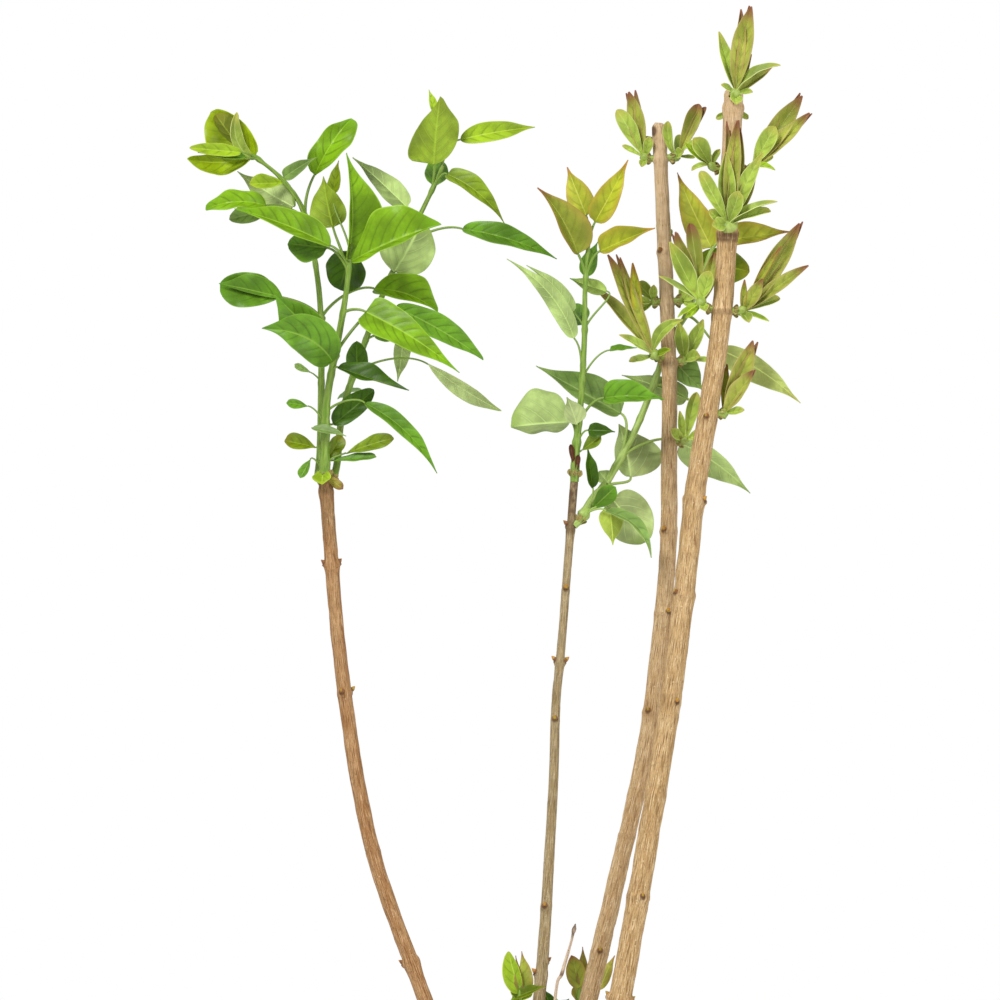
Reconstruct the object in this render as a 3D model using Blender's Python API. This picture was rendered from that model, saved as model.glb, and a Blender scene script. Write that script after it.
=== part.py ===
"""A young lilac bush: four cut-back woody stems on one root crown, with fresh leafy shoots."""

import math

import bmesh
import bpy
from mathutils import Matrix, Vector

# Lengths below are in millimetres and become metres in one place, by this scale
MM = 0.001
GAP = 0.35

# The plant's frame: X to the right, Y to the back, Z up from the ground
FRONT = Vector((0, -1, 0))
UP = Vector((0, 0, 1))

# The root crown at ground level
CROWN_CENTRE = (4, 8)
CROWN_HALF_WIDTH = 36
CROWN_HALF_DEPTH = 32
CROWN_HEIGHT = 25
CROWN_PROFILE = ((0, 1.0), (0.16, 0.95), (0.4, 0.84), (0.7, 0.74), (0.92, 0.6), (1.0, 0.42))
CROWN_LOBES = 5
CROWN_LOBE_DEPTH = 0.1
CROWN_SIDES = 16
CROWN_REACH = 60
BOSS_DEPTH = 13
BOSS_FLARE = 1.5
BOSS_SHOULDER = 1.1
BOSS_SIDES = 8

# The woody stems: route through their middle, radius at each of its points, nodes by height,
# and buds by height and compass direction (0 right, 90 back, 180 left, 270 front)
STEM_SIDES = 8
STEM_STEP = 42
NODE_SWELL = 0.14
NODE_HALF_LENGTH = 4
NODE_REACH = 2.9
NODE_CLEAR = 6.4
BUD_ROOT = 0.45
BUD_RADIUS = 1.5
BUD_TIP_RADIUS = 0.35
BUD_REACH = 1.9
BUD_SIDES = 5
SEAT_RISE = 1.3
SEAT_FLARE = 1.3
SEAT_SIDES = 8
STEMS = {
    "stem_left": dict(
        colour=(0.30, 0.17, 0.08),
        route=((-16.5, -5, 36), (-58, 4, 149), (-88, 7, 236), (-104, 8, 333), (-112.8, 6, 435.5)),
        radii=(5.4, 4.3, 4.1, 3.9, 3.8),
        nodes=(170, 231, 318, 389, 429),
        buds=((170, 180), (231, 80), (318, 250), (318, 20), (389, 185), (389, 5)),
    ),
    "stem_centre": dict(
        colour=(0.26, 0.20, 0.13),
        route=((-10, 12, 36), (5, 12, 149), (12.7, 10, 258), (17.5, 6, 346), (24.5, 3, 435.5)),
        radii=(4.4, 3.5, 2.7, 2.3, 2.2),
        nodes=(163, 200, 258, 303, 335, 375, 408),
        buds=((163, 200), (170, 10), (200, 255), (258, 90), (303, 265), (335, 180), (335, 0), (375, 270),
              (410, 185)),
    ),
    "stem_right_back": dict(
        colour=(0.42, 0.28, 0.15),
        route=((4.5, 18, 36), (32.5, 21, 149), (61.6, 20, 280), (76, 20, 431), (76.5, 20, 506),
               (71, 20, 630)),
        radii=(6.4, 5.5, 4.6, 4.3, 4.1, 3.9),
        nodes=(175, 239, 307, 407, 456, 500, 533, 561, 612),
        buds=((175, 270), (239, 100), (307, 250), (407, 240), (561, 235)),
    ),
    "stem_right_front": dict(
        colour=(0.40, 0.27, 0.15),
        route=((27, -4, 36), (49.5, -4, 149), (71.5, -4, 280), (91, -4, 431), (105.6, -4, 528),
               (112.2, -4, 650)),
        radii=(7.8, 6.5, 5.8, 5.4, 5.5, 5.2),
        nodes=(150, 206, 262, 317, 372, 424, 469, 528, 571, 608, 640),
        buds=((150, 180), (150, 0), (206, 290), (262, 90), (317, 250), (372, 80), (424, 330), (469, 265)),
    ),
}
DRY_TWIG = dict(
    colour=(0.26, 0.20, 0.13),
    route=((5, 4, 28), (9.5, 5, 100), (14.3, 5, 153), (17.6, 5, 163), (22.6, 5, 180), (24.8, 5, 190)),
    radii=(1.3, 1.0, 0.9, 1.3, 0.9, 0.5),
)
TWIG_STEPS = 12

# Leaf outlines: (rise, fall) powers of the half-width along the blade
OUTLINES = {"heart": (0.5, 1.15), "lance": (0.85, 1.0), "spoon": (1.25, 0.5)}
LONG_BLADE = 26
LONG_STATIONS = (0.2, 0.5, 0.8)
SHORT_STATIONS = (0.38, 0.76)
BLADE_THICKNESS = 0.024
LEAST_THICKNESS = 0.3
ROOT_SINK = 1.3
STALK_RADIUS = 0.75
LEAST_STALK = 0.35
STALK_BY_WIDTH = 0.02
LONG_STALK = 9
STALK_CURVE = 0.09
UPRIGHT_TIE = 0.001

# Shoots and spurs; a seated one starts straight out from its seat
SHOOT_SIDES = 6
SHOOT_RING_STEP = 15
STRAIGHT = 1.2
SPUR_RADII = (1.9, 1.2)

# Plain finishes
ROOT_COLOUR = (0.2, 0.14, 0.09)
LEAF_COLOUR = (0.16, 0.34, 0.05)
BARK_ROUGHNESS = 0.85
LEAF_ROUGHNESS = 0.5
SHARP_ANGLE = 50

# Welds after a curve is capped and after a union
SEAM_WELD = 0.001
UNION_WELD = 0.002


def leaf(at, stalk, blade, width, turn=0, fold=15, bow=0, sway=0, kind="heart"):
    """One leaf: where it joins its shoot (a share of the length), its stalk, its blade and its width."""
    return dict(at=at, stalk=Vector(stalk), blade=Vector(blade), width=width, turn=math.radians(turn),
                fold=math.radians(fold), bow=bow, sway=sway, kind=kind)


NONE = (0, 0, 0)

# The long leafy shoots: seat where they break from a stem's side, route, radii and leaves
SHOOTS = {
    "foliage_left_front": dict(
        route=((-113, 6, 436.6), (-112.5, 3, 455), (-111.5, 0, 480), (-104.5, -5, 517), (-101, -8, 538),
               (-98, -10, 564)),
        radii=(2.6, 2.3, 2.1, 1.8, 1.5, 1.0),
        leaves=(
            leaf(0.71, (11, -5, -1), (52, -14, -32), 28, turn=25, fold=12, bow=4),
            leaf(0.53, (2, -7, -1), (-41, -12, 11), 33, turn=20, fold=18, bow=8),
            leaf(0.93, (4, -5, 1), (46, -12, 19), 27, turn=35, fold=28, bow=2),
            leaf(0.98, (0, -2, 3), (-6, -4, 54), 22, fold=22, sway=3),
            leaf(0.86, (-6, 6, 24), (-8, 4, 28), 19, turn=180, fold=10),
            leaf(0.95, (-4, 12, 16), (-3, 6, 38), 10, turn=20, fold=25, kind="lance"),
            leaf(0.90, (-8, -4, 8), (-55, -10, 19), 19, turn=40, fold=28, bow=3, kind="lance"),
            leaf(0.88, (-7, 2, 4), (-24, 2, 2), 15, turn=25, fold=20),
            leaf(0.90, (1, 5, 1), (6, 14, -13), 22, turn=10, fold=10),
            leaf(0.535, (10, 5, 6), (69, 2, -11), 20, turn=30, fold=15, bow=4, kind="lance"),
            leaf(0.45, (3, -4, -2), (38, -9, -13), 12, turn=150, fold=25, kind="lance"),
            leaf(0.24, (5, 4, 3), (21, 3, 11), 11, turn=15, kind="lance"),
            leaf(0.29, (18, -5, 2), (44, -9, -38), 15, turn=35, fold=25, bow=6, kind="lance"),
            leaf(0.225, (-8, -3, 7), (-11, -4, 1), 5, turn=20, kind="spoon"),
            leaf(0.20, (-4, -4, 1), (20, -5, -3), 6, turn=40, kind="lance"),
            leaf(0.10, NONE, (-20, -4, 4), 8, turn=20, kind="spoon"),
            leaf(0.07, (6, -2, 4), (30, -6, 11), 9, turn=30, kind="spoon"),
            leaf(0.05, NONE, (29, -8, 3), 6, turn=50, kind="spoon"),
            leaf(0.08, NONE, (9, 4, 15), 9, kind="spoon"),
            leaf(0.03, NONE, (1, -9, -9), 9, turn=10, kind="spoon"),
            leaf(0.03, NONE, (-11, -4, 3), 5, turn=20, kind="spoon"),
            leaf(0.03, NONE, (10, -4, -8), 6, turn=20, kind="spoon"),
        ),
    ),
    "foliage_left_back": dict(
        seat=("stem_left", 429, 120, 45),
        route=((-118.5, 17, 452), (-117, 19, 490), (-114.8, 19, 516.5), (-117, 18, 545), (-123.8, 17, 580),
               (-136, 15, 599.5), (-153, 13, 614)),
        radii=(2.2, 2.1, 1.8, 1.7, 1.5, 1.4, 1.2, 0.9),
        leaves=(
            leaf(0.48, (-19, -4, 10), (-35, -6, 8), 20, turn=12, fold=15),
            leaf(0.48, (25, -4, 15), (35, -3, -9), 19, turn=30, fold=30, bow=5),
            leaf(0.30, (-6, 1, 6), (-9, 1, 4), 4, kind="spoon"),
            leaf(0.76, (-24, -1, 6), (-31, 0, -4), 11, turn=30, fold=20, bow=7),
            leaf(0.77, (4, 3, 20), (21, 5, 32), 18, turn=10, fold=28, bow=4),
            leaf(0.87, NONE, (18, -4, 13), 10, turn=20, fold=22),
            leaf(0.88, NONE, (-19, -9, -1), 10, turn=20, fold=28, kind="spoon"),
            leaf(0.84, NONE, (-29, 9, 12), 15, turn=170, fold=10),
            leaf(0.99, NONE, (-26, -5, 9), 24, turn=60, fold=25, bow=20),
            leaf(0.98, NONE, (-35, -6, 1), 17, turn=30, fold=28, bow=-8),
            leaf(0.48, (-3, 10, 4), (-10, 36, -8), 24, fold=12),
            leaf(0.63, (-2, 9, 5), (4, 34, -2), 24, fold=12),
            leaf(0.79, (-2, 8, 5), (-12, 30, 8), 22, fold=12),
            leaf(0.90, (1, 5, 4), (2, 24, 12), 16, fold=15),
        ),
    ),
    "foliage_left_inner": dict(
        seat=("stem_left", 429, 45, 45),
        route=((-104, 16, 446), (-101.8, 19, 464), (-97.9, 22, 480), (-92.4, 25, 500.5), (-81, 28, 535),
               (-68.8, 29, 564), (-54.5, 29, 593.5), (-48, 29, 608)),
        radii=(2.1, 2.0, 1.9, 1.8, 1.7, 1.6, 1.5, 1.2, 1.0),
        leaves=(
            leaf(0.92, (2, -2, 15), (-3, -3, 44), 29, turn=180, fold=8),
            leaf(0.93, (12, 6, 22), (45, 6, 9), 13, turn=20, fold=20, bow=4, kind="lance"),
            leaf(0.92, (12, -5, 6), (30, -6, -24), 15, turn=35, fold=28, bow=5),
            leaf(0.74, (30, -5, 9), (58, -8, -20), 13, turn=35, fold=25, bow=4, kind="lance"),
            leaf(0.78, (-2, 3, 13), (-28, 4, 32), 13, turn=160, fold=25),
            leaf(0.65, (1, -6, 4), (17, -6, 26), 26, turn=180, fold=8),
            leaf(0.345, (31, 2, 6), (47, -2, -29), 13, turn=190, bow=4, kind="lance"),
            leaf(0.45, (13, 4, 1), (5, 2, -21), 10, turn=180, kind="lance"),
            leaf(0.33, (-1, -4, 3), (2, -3, 15), 13, turn=10),
            leaf(0.30, (2, 9, 3), (-4, 34, -8), 24, fold=12),
            leaf(0.50, (6, 8, 3), (22, 28, -10), 24, fold=12),
            leaf(0.62, (-1, 9, 5), (-8, 35, -2), 25, fold=12),
            leaf(0.78, (4, 8, 4), (16, 30, 2), 23, fold=12),
            leaf(0.94, (0, 6, 6), (-4, 26, 12), 18, fold=15),
        ),
    ),
    "foliage_centre_top": dict(
        route=((24.6, 3, 436.6), (25.3, 3, 451), (28, 2, 478.5), (30, 1, 513.7), (30.3, 0, 539.6),
               (32, 0, 562)),
        radii=(2.4, 2.1, 1.7, 1.5, 1.3, 1.0),
        leaves=(
            leaf(0.87, (-3, -2, 11), (-20, -8, 38), 22, turn=5, fold=20, sway=2),
            leaf(0.98, (1, 2, 12), (-13, 3, 32), 14, fold=22),
            leaf(0.98, (4, -2, 13), (18, -4, 34), 15, turn=10, fold=26),
            leaf(0.87, (7, -3, 12), (29, -5, 14), 15, turn=35, fold=30),
            leaf(0.65, (11, 4, 14), (-20, 7, 11), 8, turn=160, kind="lance"),
            leaf(0.43, (-3, -2, 22), (-37, -6, 43), 19, turn=180, fold=12),
            leaf(0.65, (-7, 3, 11), (-24, 8, 21), 9, turn=180),
            leaf(0.44, (12, 2, 12), (20, 3, 2), 6, turn=60),
            leaf(0.25, (17, -4, 12), (27, -5, -9), 12, turn=30, fold=28, bow=4),
            leaf(0.17, (-4, 3, 9), (-33, 2, -2), 25, turn=185, fold=8),
            leaf(0.17, (-3, -4, 7), (-4, -6, 16), 13, turn=170, fold=25),
            leaf(0.15, (3, -3, 4), (17, -3, 4), 6, turn=20),
            leaf(0.11, NONE, (13, -5, 9), 5, turn=10, kind="spoon"),
            leaf(0.07, NONE, (-8, -2, 8), 5, kind="spoon"),
            leaf(0.04, NONE, (5, -4, 7), 5, kind="spoon"),
            leaf(0.28, (-2, 9, 5), (-10, 32, -6), 23, fold=12),
            leaf(0.50, (2, 9, 5), (6, 32, 2), 22, fold=12),
            leaf(0.68, (-2, 8, 5), (-8, 28, 8), 20, fold=12),
            leaf(0.88, (1, 6, 8), (4, 22, 14), 15, fold=15),
        ),
    ),
    "foliage_centre_side": dict(
        seat=("stem_centre", 408, 15, 45),
        route=((34, 9, 423.5), (41.3, 13, 431.8), (51.2, 20, 449), (59, 26, 464), (69, 33, 489),
               (76, 35, 509), (88, 34, 529), (100, 32, 561)),
        radii=(2.3, 2.2, 2.1, 2.0, 1.9, 1.8, 1.6, 1.4, 1.0),
        leaves=(
            leaf(0.05, NONE, (12, -9, 13), 11, fold=12, kind="spoon"),
            leaf(0.13, NONE, (-2, 7, 11), 8, turn=180, kind="spoon"),
            leaf(0.16, (12, 7, 9), (27, 9, 11), 25, turn=185, fold=20),
            leaf(0.06, (13, 2, 3), (21, 4, -13), 19, turn=185, fold=12, bow=4),
            leaf(0.05, (11, -3, 1), (2, 0, -19), 17, turn=180, fold=10),
            leaf(0.045, (8, -6, 1), (24, -7, -25), 8, turn=40, bow=7, fold=30, kind="lance"),
            leaf(0.04, (1, -3, 13), (-3, -1, 21), 6, turn=30, fold=30, kind="lance"),
            leaf(0.27, (0, 2, 20), (-48, -2, 26), 22, turn=160, fold=18),
            leaf(0.54, (15, 3, -8), (-33, 3, 14), 12, turn=185),
            leaf(0.28, (28, 12, 4), (41, 2, -28), 16, turn=200, bow=6),
            leaf(0.64, (6, -3, -6), (13, -3, -16), 13, turn=20),
            leaf(0.78, (18, -6, -23), (43, -5, -30), 16, turn=190, bow=4),
            leaf(0.90, NONE, (30, 2, 1), 20, turn=5, fold=10),
            leaf(0.90, NONE, (-11, 2, 13), 9, turn=10),
            leaf(0.99, NONE, (-21, -4, 40), 13, fold=14),
            leaf(0.98, (8, -2, 2), (36, -4, 9), 15, turn=30, fold=28),
            leaf(0.24, (0, 8, 4), (-8, 30, -4), 22, fold=12),
            leaf(0.42, (2, 8, 4), (8, 30, -4), 23, fold=12),
            leaf(0.62, (-2, 8, 4), (-8, 28, 4), 21, fold=12),
            leaf(0.82, (2, 7, 4), (8, 28, 2), 20, fold=12),
            leaf(0.97, (0, 6, 6), (0, 22, 10), 15, fold=15),
        ),
    ),
    "basal_shoot_left": dict(
        route=((-2, -10, 26.6), (-5, -11, 80), (-6, -11, 130), (-5.5, -10, 158)),
        radii=(1.5, 1.4, 1.2, 0.9),
        leaves=(
            leaf(0.96, NONE, (-7, -3, 26), 18, turn=10, fold=20),
            leaf(0.96, NONE, (2, 4, 25), 9, fold=20),
            leaf(0.95, NONE, (7, -1, 14), 8, fold=20),
            leaf(0.93, NONE, (14, -5, 6), 7, turn=40, fold=20),
            leaf(0.93, NONE, (-7, -7, -2), 5, turn=40),
            leaf(0.93, NONE, (1, 13, 12), 13, fold=15),
            leaf(0.62, (-3, -2, 3), (-14, -4, 6), 9, turn=30),
            leaf(0.62, (3, 2, 3), (9, 4, 6), 7, turn=30),
            leaf(0.34, (-1, -3, 3), (-2, -12, 5), 7, turn=10),
        ),
    ),
    "basal_shoot_back": dict(
        route=((-4, 27, 24.6), (4, 29, 80), (11, 30, 125), (14, 30, 145)),
        radii=(1.4, 1.2, 1.1, 0.9),
        leaves=(
            leaf(0.97, NONE, (-7, -2, 13), 8, turn=10, fold=20),
            leaf(0.97, NONE, (8, 2, 7), 6, turn=30, fold=20),
            leaf(0.95, NONE, (2, 12, 10), 10, fold=15),
            leaf(0.60, (-2, 2, 2), (-10, 5, 5), 7, turn=20),
            leaf(0.60, (2, 2, 2), (4, 12, 5), 7, turn=20),
            leaf(0.30, (-1, 3, 2), (-4, 12, 5), 6, turn=20),
        ),
    ),
    "basal_shoot_right": dict(
        route=((17, 30, 22.6), (24, 36, 80), (27, 37, 130), (27, 37, 153)),
        radii=(1.5, 1.3, 1.2, 0.9),
        leaves=(
            leaf(0.97, NONE, (-2, -2, 20), 13, turn=10, fold=18),
            leaf(0.97, NONE, (3, 1, 24), 6, fold=20),
            leaf(0.96, NONE, (19, 0, 20), 7, turn=10, fold=20),
            leaf(0.95, NONE, (4, 14, 12), 12, fold=15),
            leaf(0.62, (2, 2, 3), (11, 5, 5), 8, turn=30),
            leaf(0.62, (-2, 2, 3), (-6, 12, 4), 8, turn=30),
            leaf(0.32, (1, 3, 3), (6, 11, 5), 7, turn=20),
        ),
    ),
}

# The bud clusters of the two right stems: seat (stem, height, compass direction), the spur's reach
# and rise, and its leaves
CLUSTERS = {
    "cluster_back_top_left": dict(
        seat=("stem_right_back", 612, 185), reach=5, rise=2,
        leaves=(
            leaf(0.8, NONE, (-13, -3, 24), 9, turn=5, fold=8, kind="spoon"),
            leaf(0.9, NONE, (-7, 4, 34), 8, fold=20, kind="lance"),
            leaf(0.7, NONE, (3, -5, 11), 6, kind="spoon"),
            leaf(0.9, NONE, (-14, -2, 3), 3.5, turn=20, kind="spoon"),
            leaf(0.7, NONE, (2, 7, 12), 7, kind="spoon"),
            leaf(0.7, NONE, (-2, -5, -5), 5, turn=10, kind="spoon"),
        )),
    "cluster_back_top_right": dict(
        seat=("stem_right_back", 612, 0), reach=5, rise=1,
        leaves=(
            leaf(0.7, NONE, (-3, -3, 16), 5, bow=0, sway=-2, kind="spoon"),
            leaf(0.9, NONE, (15, 1, 23), 9, turn=10, fold=20, kind="spoon"),
            leaf(0.9, NONE, (17, -4, 3), 5, turn=50, bow=3, kind="spoon"),
            leaf(0.7, NONE, (4, -6, 3), 7, turn=30, kind="spoon"),
            leaf(0.9, NONE, (9, -1, -1), 2.5, turn=20, kind="spoon"),
            leaf(0.7, NONE, (4, 11, 12), 8, kind="spoon"),
        )),
    "cluster_back_high": dict(
        seat=("stem_right_back", 561, 90), reach=4, rise=2,
        leaves=(
            leaf(0.9, NONE, (-7, 11, 19), 9, kind="spoon"),
            leaf(0.9, NONE, (7, 12, 15), 8, kind="spoon"),
            leaf(0.7, NONE, (1, 15, 3), 7, turn=30, kind="spoon"),
        )),
    "cluster_back_middle_left": dict(
        seat=("stem_right_back", 533, 190), reach=3, rise=0,
        leaves=(
            leaf(0.7, NONE, (-9, 3, 11), 8, turn=10, kind="spoon"),
            leaf(0.7, NONE, (-1, -5, 9), 5, kind="spoon"),
            leaf(0.9, NONE, (-8, -5, 1), 5, turn=20, kind="spoon"),
            leaf(0.7, NONE, (-10, -1, -5), 6, turn=10, kind="spoon"),
        )),
    "cluster_back_middle_right": dict(
        seat=("stem_right_back", 533, 0), reach=3, rise=0,
        leaves=(
            leaf(0.9, NONE, (8, -3, 4), 6, turn=20, kind="spoon"),
            leaf(0.8, NONE, (7, -3, -3), 4, turn=20, kind="spoon"),
            leaf(0.7, NONE, (3, 9, 7), 6, kind="spoon"),
        )),
    "cluster_back_low_left": dict(
        seat=("stem_right_back", 502, 215), reach=6, rise=3,
        leaves=(
            leaf(0.9, NONE, (-20, -2, 50), 12, turn=10, fold=25),
            leaf(0.8, NONE, (-27, -5, 50), 7, fold=25, kind="lance"),
            leaf(0.9, NONE, (-33, 2, 34), 9, turn=30, fold=25, kind="lance"),
            leaf(0.8, NONE, (-9, -6, 46), 8, fold=20, kind="lance"),
            leaf(0.8, NONE, (-17, -8, 6), 6, turn=40),
            leaf(0.9, NONE, (14, -8, 19), 7, turn=20, sway=-4, kind="lance"),
            leaf(0.7, NONE, (8, -9, 3), 5, turn=30, kind="lance"),
            leaf(0.7, NONE, (-14, -5, -4), 5, turn=30, kind="spoon"),
        )),
    "cluster_back_low_right": dict(
        seat=("stem_right_back", 500, 10), reach=4, rise=1,
        leaves=(
            leaf(0.8, NONE, (2, -3, 20), 8, kind="heart"),
            leaf(0.9, NONE, (13, 1, 17), 9, turn=10),
            leaf(0.7, NONE, (9, -7, 3), 8, turn=30, kind="spoon"),
            leaf(0.9, NONE, (17, -3, -1), 5, turn=50),
            leaf(0.7, NONE, (3, 9, 8), 7, kind="spoon"),
        )),
    "cluster_back_foot": dict(
        seat=("stem_right_back", 456, 335), reach=5, rise=1,
        leaves=(
            leaf(0.9, NONE, (8, -3, 23), 6, kind="spoon"),
            leaf(0.7, NONE, (-1, -3, 18), 5, kind="lance"),
            leaf(0.7, NONE, (-7, -6, 8), 5, turn=10, kind="spoon"),
            leaf(0.9, NONE, (9, -1, 4), 6, turn=20, kind="spoon"),
        )),
    "cluster_front_top": dict(
        seat=("stem_right_front", 645, 275), reach=5, rise=4,
        leaves=(
            leaf(0.9, NONE, (6, -2, 45), 12, fold=22),
            leaf(0.85, NONE, (-9, -2, 29), 7, turn=15, fold=20, kind="lance"),
            leaf(0.9, NONE, (24, -4, 12), 7, turn=55, bow=3, kind="lance"),
            leaf(0.7, NONE, (19, 1, 13), 6, turn=25, kind="lance"),
            leaf(0.7, NONE, (8, 3, 22), 5, fold=20, kind="lance"),
            leaf(0.7, NONE, (-9, -2, 2), 4, turn=30, kind="spoon"),
            leaf(0.7, NONE, (10, -4, -2), 4, turn=30, kind="spoon"),
            leaf(0.7, NONE, (0, -6, -6), 8, turn=10, kind="spoon"),
        )),
    "cluster_front_crest": dict(
        seat=("stem_right_front", 637, 90), reach=4, rise=2,
        leaves=(
            leaf(0.8, NONE, (9, 2, -4), 4, turn=20, kind="spoon"),
            leaf(0.8, NONE, (-9, 2, -5), 4, turn=20, kind="spoon"),
            leaf(0.9, NONE, (-4, 10, 20), 9, kind="spoon"),
            leaf(0.9, NONE, (5, 12, 17), 8, kind="spoon"),
        )),
    "cluster_front_upper_left": dict(
        seat=("stem_right_front", 605, 180), reach=5, rise=3,
        leaves=(
            leaf(0.9, NONE, (-12, -4, 13), 8, turn=10, fold=25, kind="spoon"),
            leaf(0.9, NONE, (-18, 0, 11), 5, turn=20, kind="lance"),
            leaf(0.7, NONE, (1, -3, 9), 3, sway=-1, kind="spoon"),
            leaf(0.8, NONE, (-11, -3, -3), 3.5, turn=30, bow=3, kind="spoon"),
            leaf(0.7, NONE, (-3, 9, 6), 6, kind="spoon"),
        )),
    "cluster_front_upper_right": dict(
        seat=("stem_right_front", 605, 0), reach=7, rise=3,
        leaves=(
            leaf(0.9, NONE, (25, 3, 40), 11, fold=22),
            leaf(0.8, NONE, (10, -4, 21), 10, turn=5, kind="spoon"),
            leaf(0.9, NONE, (31, -2, 28), 10, turn=20, fold=22),
            leaf(0.7, NONE, (14, -5, -1), 4, turn=50, bow=2, kind="lance"),
            leaf(0.8, NONE, (12, 6, 6), 4, turn=20, kind="spoon"),
        )),
    "cluster_front_middle": dict(
        seat=("stem_right_front", 573, 270), reach=5, rise=3,
        leaves=(
            leaf(0.9, NONE, (4, -3, 53), 9, fold=25, kind="lance"),
            leaf(0.8, NONE, (11, -2, 47), 7, fold=20, kind="lance"),
            leaf(0.8, NONE, (-2, -1, 48), 6, fold=20, kind="lance"),
            leaf(0.7, NONE, (-4, -6, 34), 9, fold=12),
            leaf(0.7, NONE, (17, -6, 31), 10, turn=5, fold=12),
            leaf(0.8, NONE, (-17, -6, 23), 9, turn=10, bow=3, kind="spoon"),
            leaf(0.9, NONE, (7, -8, 13), 9, turn=10, kind="spoon"),
            leaf(0.7, NONE, (14, 3, 24), 8, kind="lance"),
            leaf(0.9, NONE, (27, -7, 8), 5, turn=50, bow=3, kind="lance"),
            leaf(0.7, NONE, (23, -5, 4), 7, turn=40, bow=2, kind="spoon"),
            leaf(0.7, NONE, (-11, -6, 1), 7, turn=20, kind="spoon"),
            leaf(0.8, NONE, (-7, -8, -6), 9, turn=10, kind="spoon"),
        )),
    "cluster_front_middle_rear": dict(
        seat=("stem_right_front", 571, 90), reach=4, rise=2,
        leaves=(
            leaf(0.9, NONE, (-7, 10, 21), 9, kind="spoon"),
            leaf(0.9, NONE, (6, 11, 19), 9, kind="spoon"),
            leaf(0.7, NONE, (0, 14, 6), 7, turn=20, kind="spoon"),
        )),
    "cluster_front_lower_left": dict(
        seat=("stem_right_front", 528, 185), reach=6, rise=5,
        leaves=(
            leaf(0.9, NONE, (-15, -4, 24), 13, turn=5, fold=22),
            leaf(0.9, NONE, (-18, 1, 33), 8, fold=20),
            leaf(0.8, NONE, (-3, 4, 43), 8, fold=15, kind="spoon"),
            leaf(0.8, NONE, (6, -5, 16), 10, turn=10, fold=20, kind="spoon"),
            leaf(0.9, NONE, (-21, -7, 14), 5, turn=45, kind="lance"),
            leaf(0.7, NONE, (8, 6, 28), 9, fold=15),
            leaf(0.8, NONE, (-13, -6, -8), 4, turn=40, kind="lance"),
            leaf(0.7, NONE, (2, -6, -4), 6, turn=10, kind="spoon"),
            leaf(0.7, NONE, (-9, 6, -8), 4, turn=10, kind="lance"),
        )),
    "cluster_front_lower_right": dict(
        seat=("stem_right_front", 528, 0), reach=6, rise=1,
        leaves=(
            leaf(0.97, NONE, (35, 3, 46), 12, fold=22),
            leaf(0.9, NONE, (38, -4, 24), 9, turn=20, fold=20, kind="lance"),
            leaf(0.72, NONE, (22, -6, 36), 4, kind="lance"),
            leaf(0.8, NONE, (11, -6, 17), 9, turn=10, fold=15),
            leaf(0.9, NONE, (19, 6, 8), 6, turn=20, kind="spoon"),
            leaf(0.8, NONE, (17, -5, -10), 4, turn=40, kind="lance"),
            leaf(0.75, NONE, (1, -7, 17), 4, kind="lance"),
            leaf(0.72, NONE, (4, -7, -6), 7, turn=20, kind="spoon"),
        )),
    "cluster_front_foot": dict(
        seat=("stem_right_front", 472, 5), reach=3, rise=3,
        leaves=(
            leaf(0.8, NONE, (17, 1, 33), 13, fold=18),
            leaf(0.7, NONE, (18, -7, 16), 11, turn=20, fold=18),
            leaf(0.7, NONE, (11, -6, 1), 5, turn=20, kind="spoon"),
            leaf(0.7, NONE, (1, 5, 27), 5, kind="lance"),
            leaf(0.7, NONE, (5, 10, 8), 7, kind="spoon"),
        )),
}


def clear_scene():
    """Removes what the scene holds."""
    for old in list(bpy.data.objects):
        bpy.data.objects.remove(old)


def collection_named(name):
    """A new collection in the scene."""
    made = bpy.data.collections.new(name)
    bpy.context.scene.collection.children.link(made)
    return made


def finish_named(name, colour, roughness):
    """One plain Principled material."""
    material = bpy.data.materials.new(name)
    material.use_nodes = True
    shader = material.node_tree.nodes["Principled BSDF"]
    shader.inputs["Base Color"].default_value = (*colour, 1)
    shader.inputs["Roughness"].default_value = roughness
    shader.inputs["Metallic"].default_value = 0
    return material


def smooth_point(points, place):
    """The point of a Catmull-Rom curve through the points, at a place counted in points."""
    last = len(points) - 1
    first = min(int(place), last - 1)
    t = place - first
    a, b = points[first], points[first + 1]
    before = points[first - 1] if first > 0 else a * 2 - b
    after = points[first + 2] if first + 2 <= last else b * 2 - a
    return 0.5 * (2 * a + (b - before) * t + (2 * before - 5 * a + 4 * b - after) * t ** 2
                  + (3 * a - before - 3 * b + after) * t ** 3)


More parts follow.
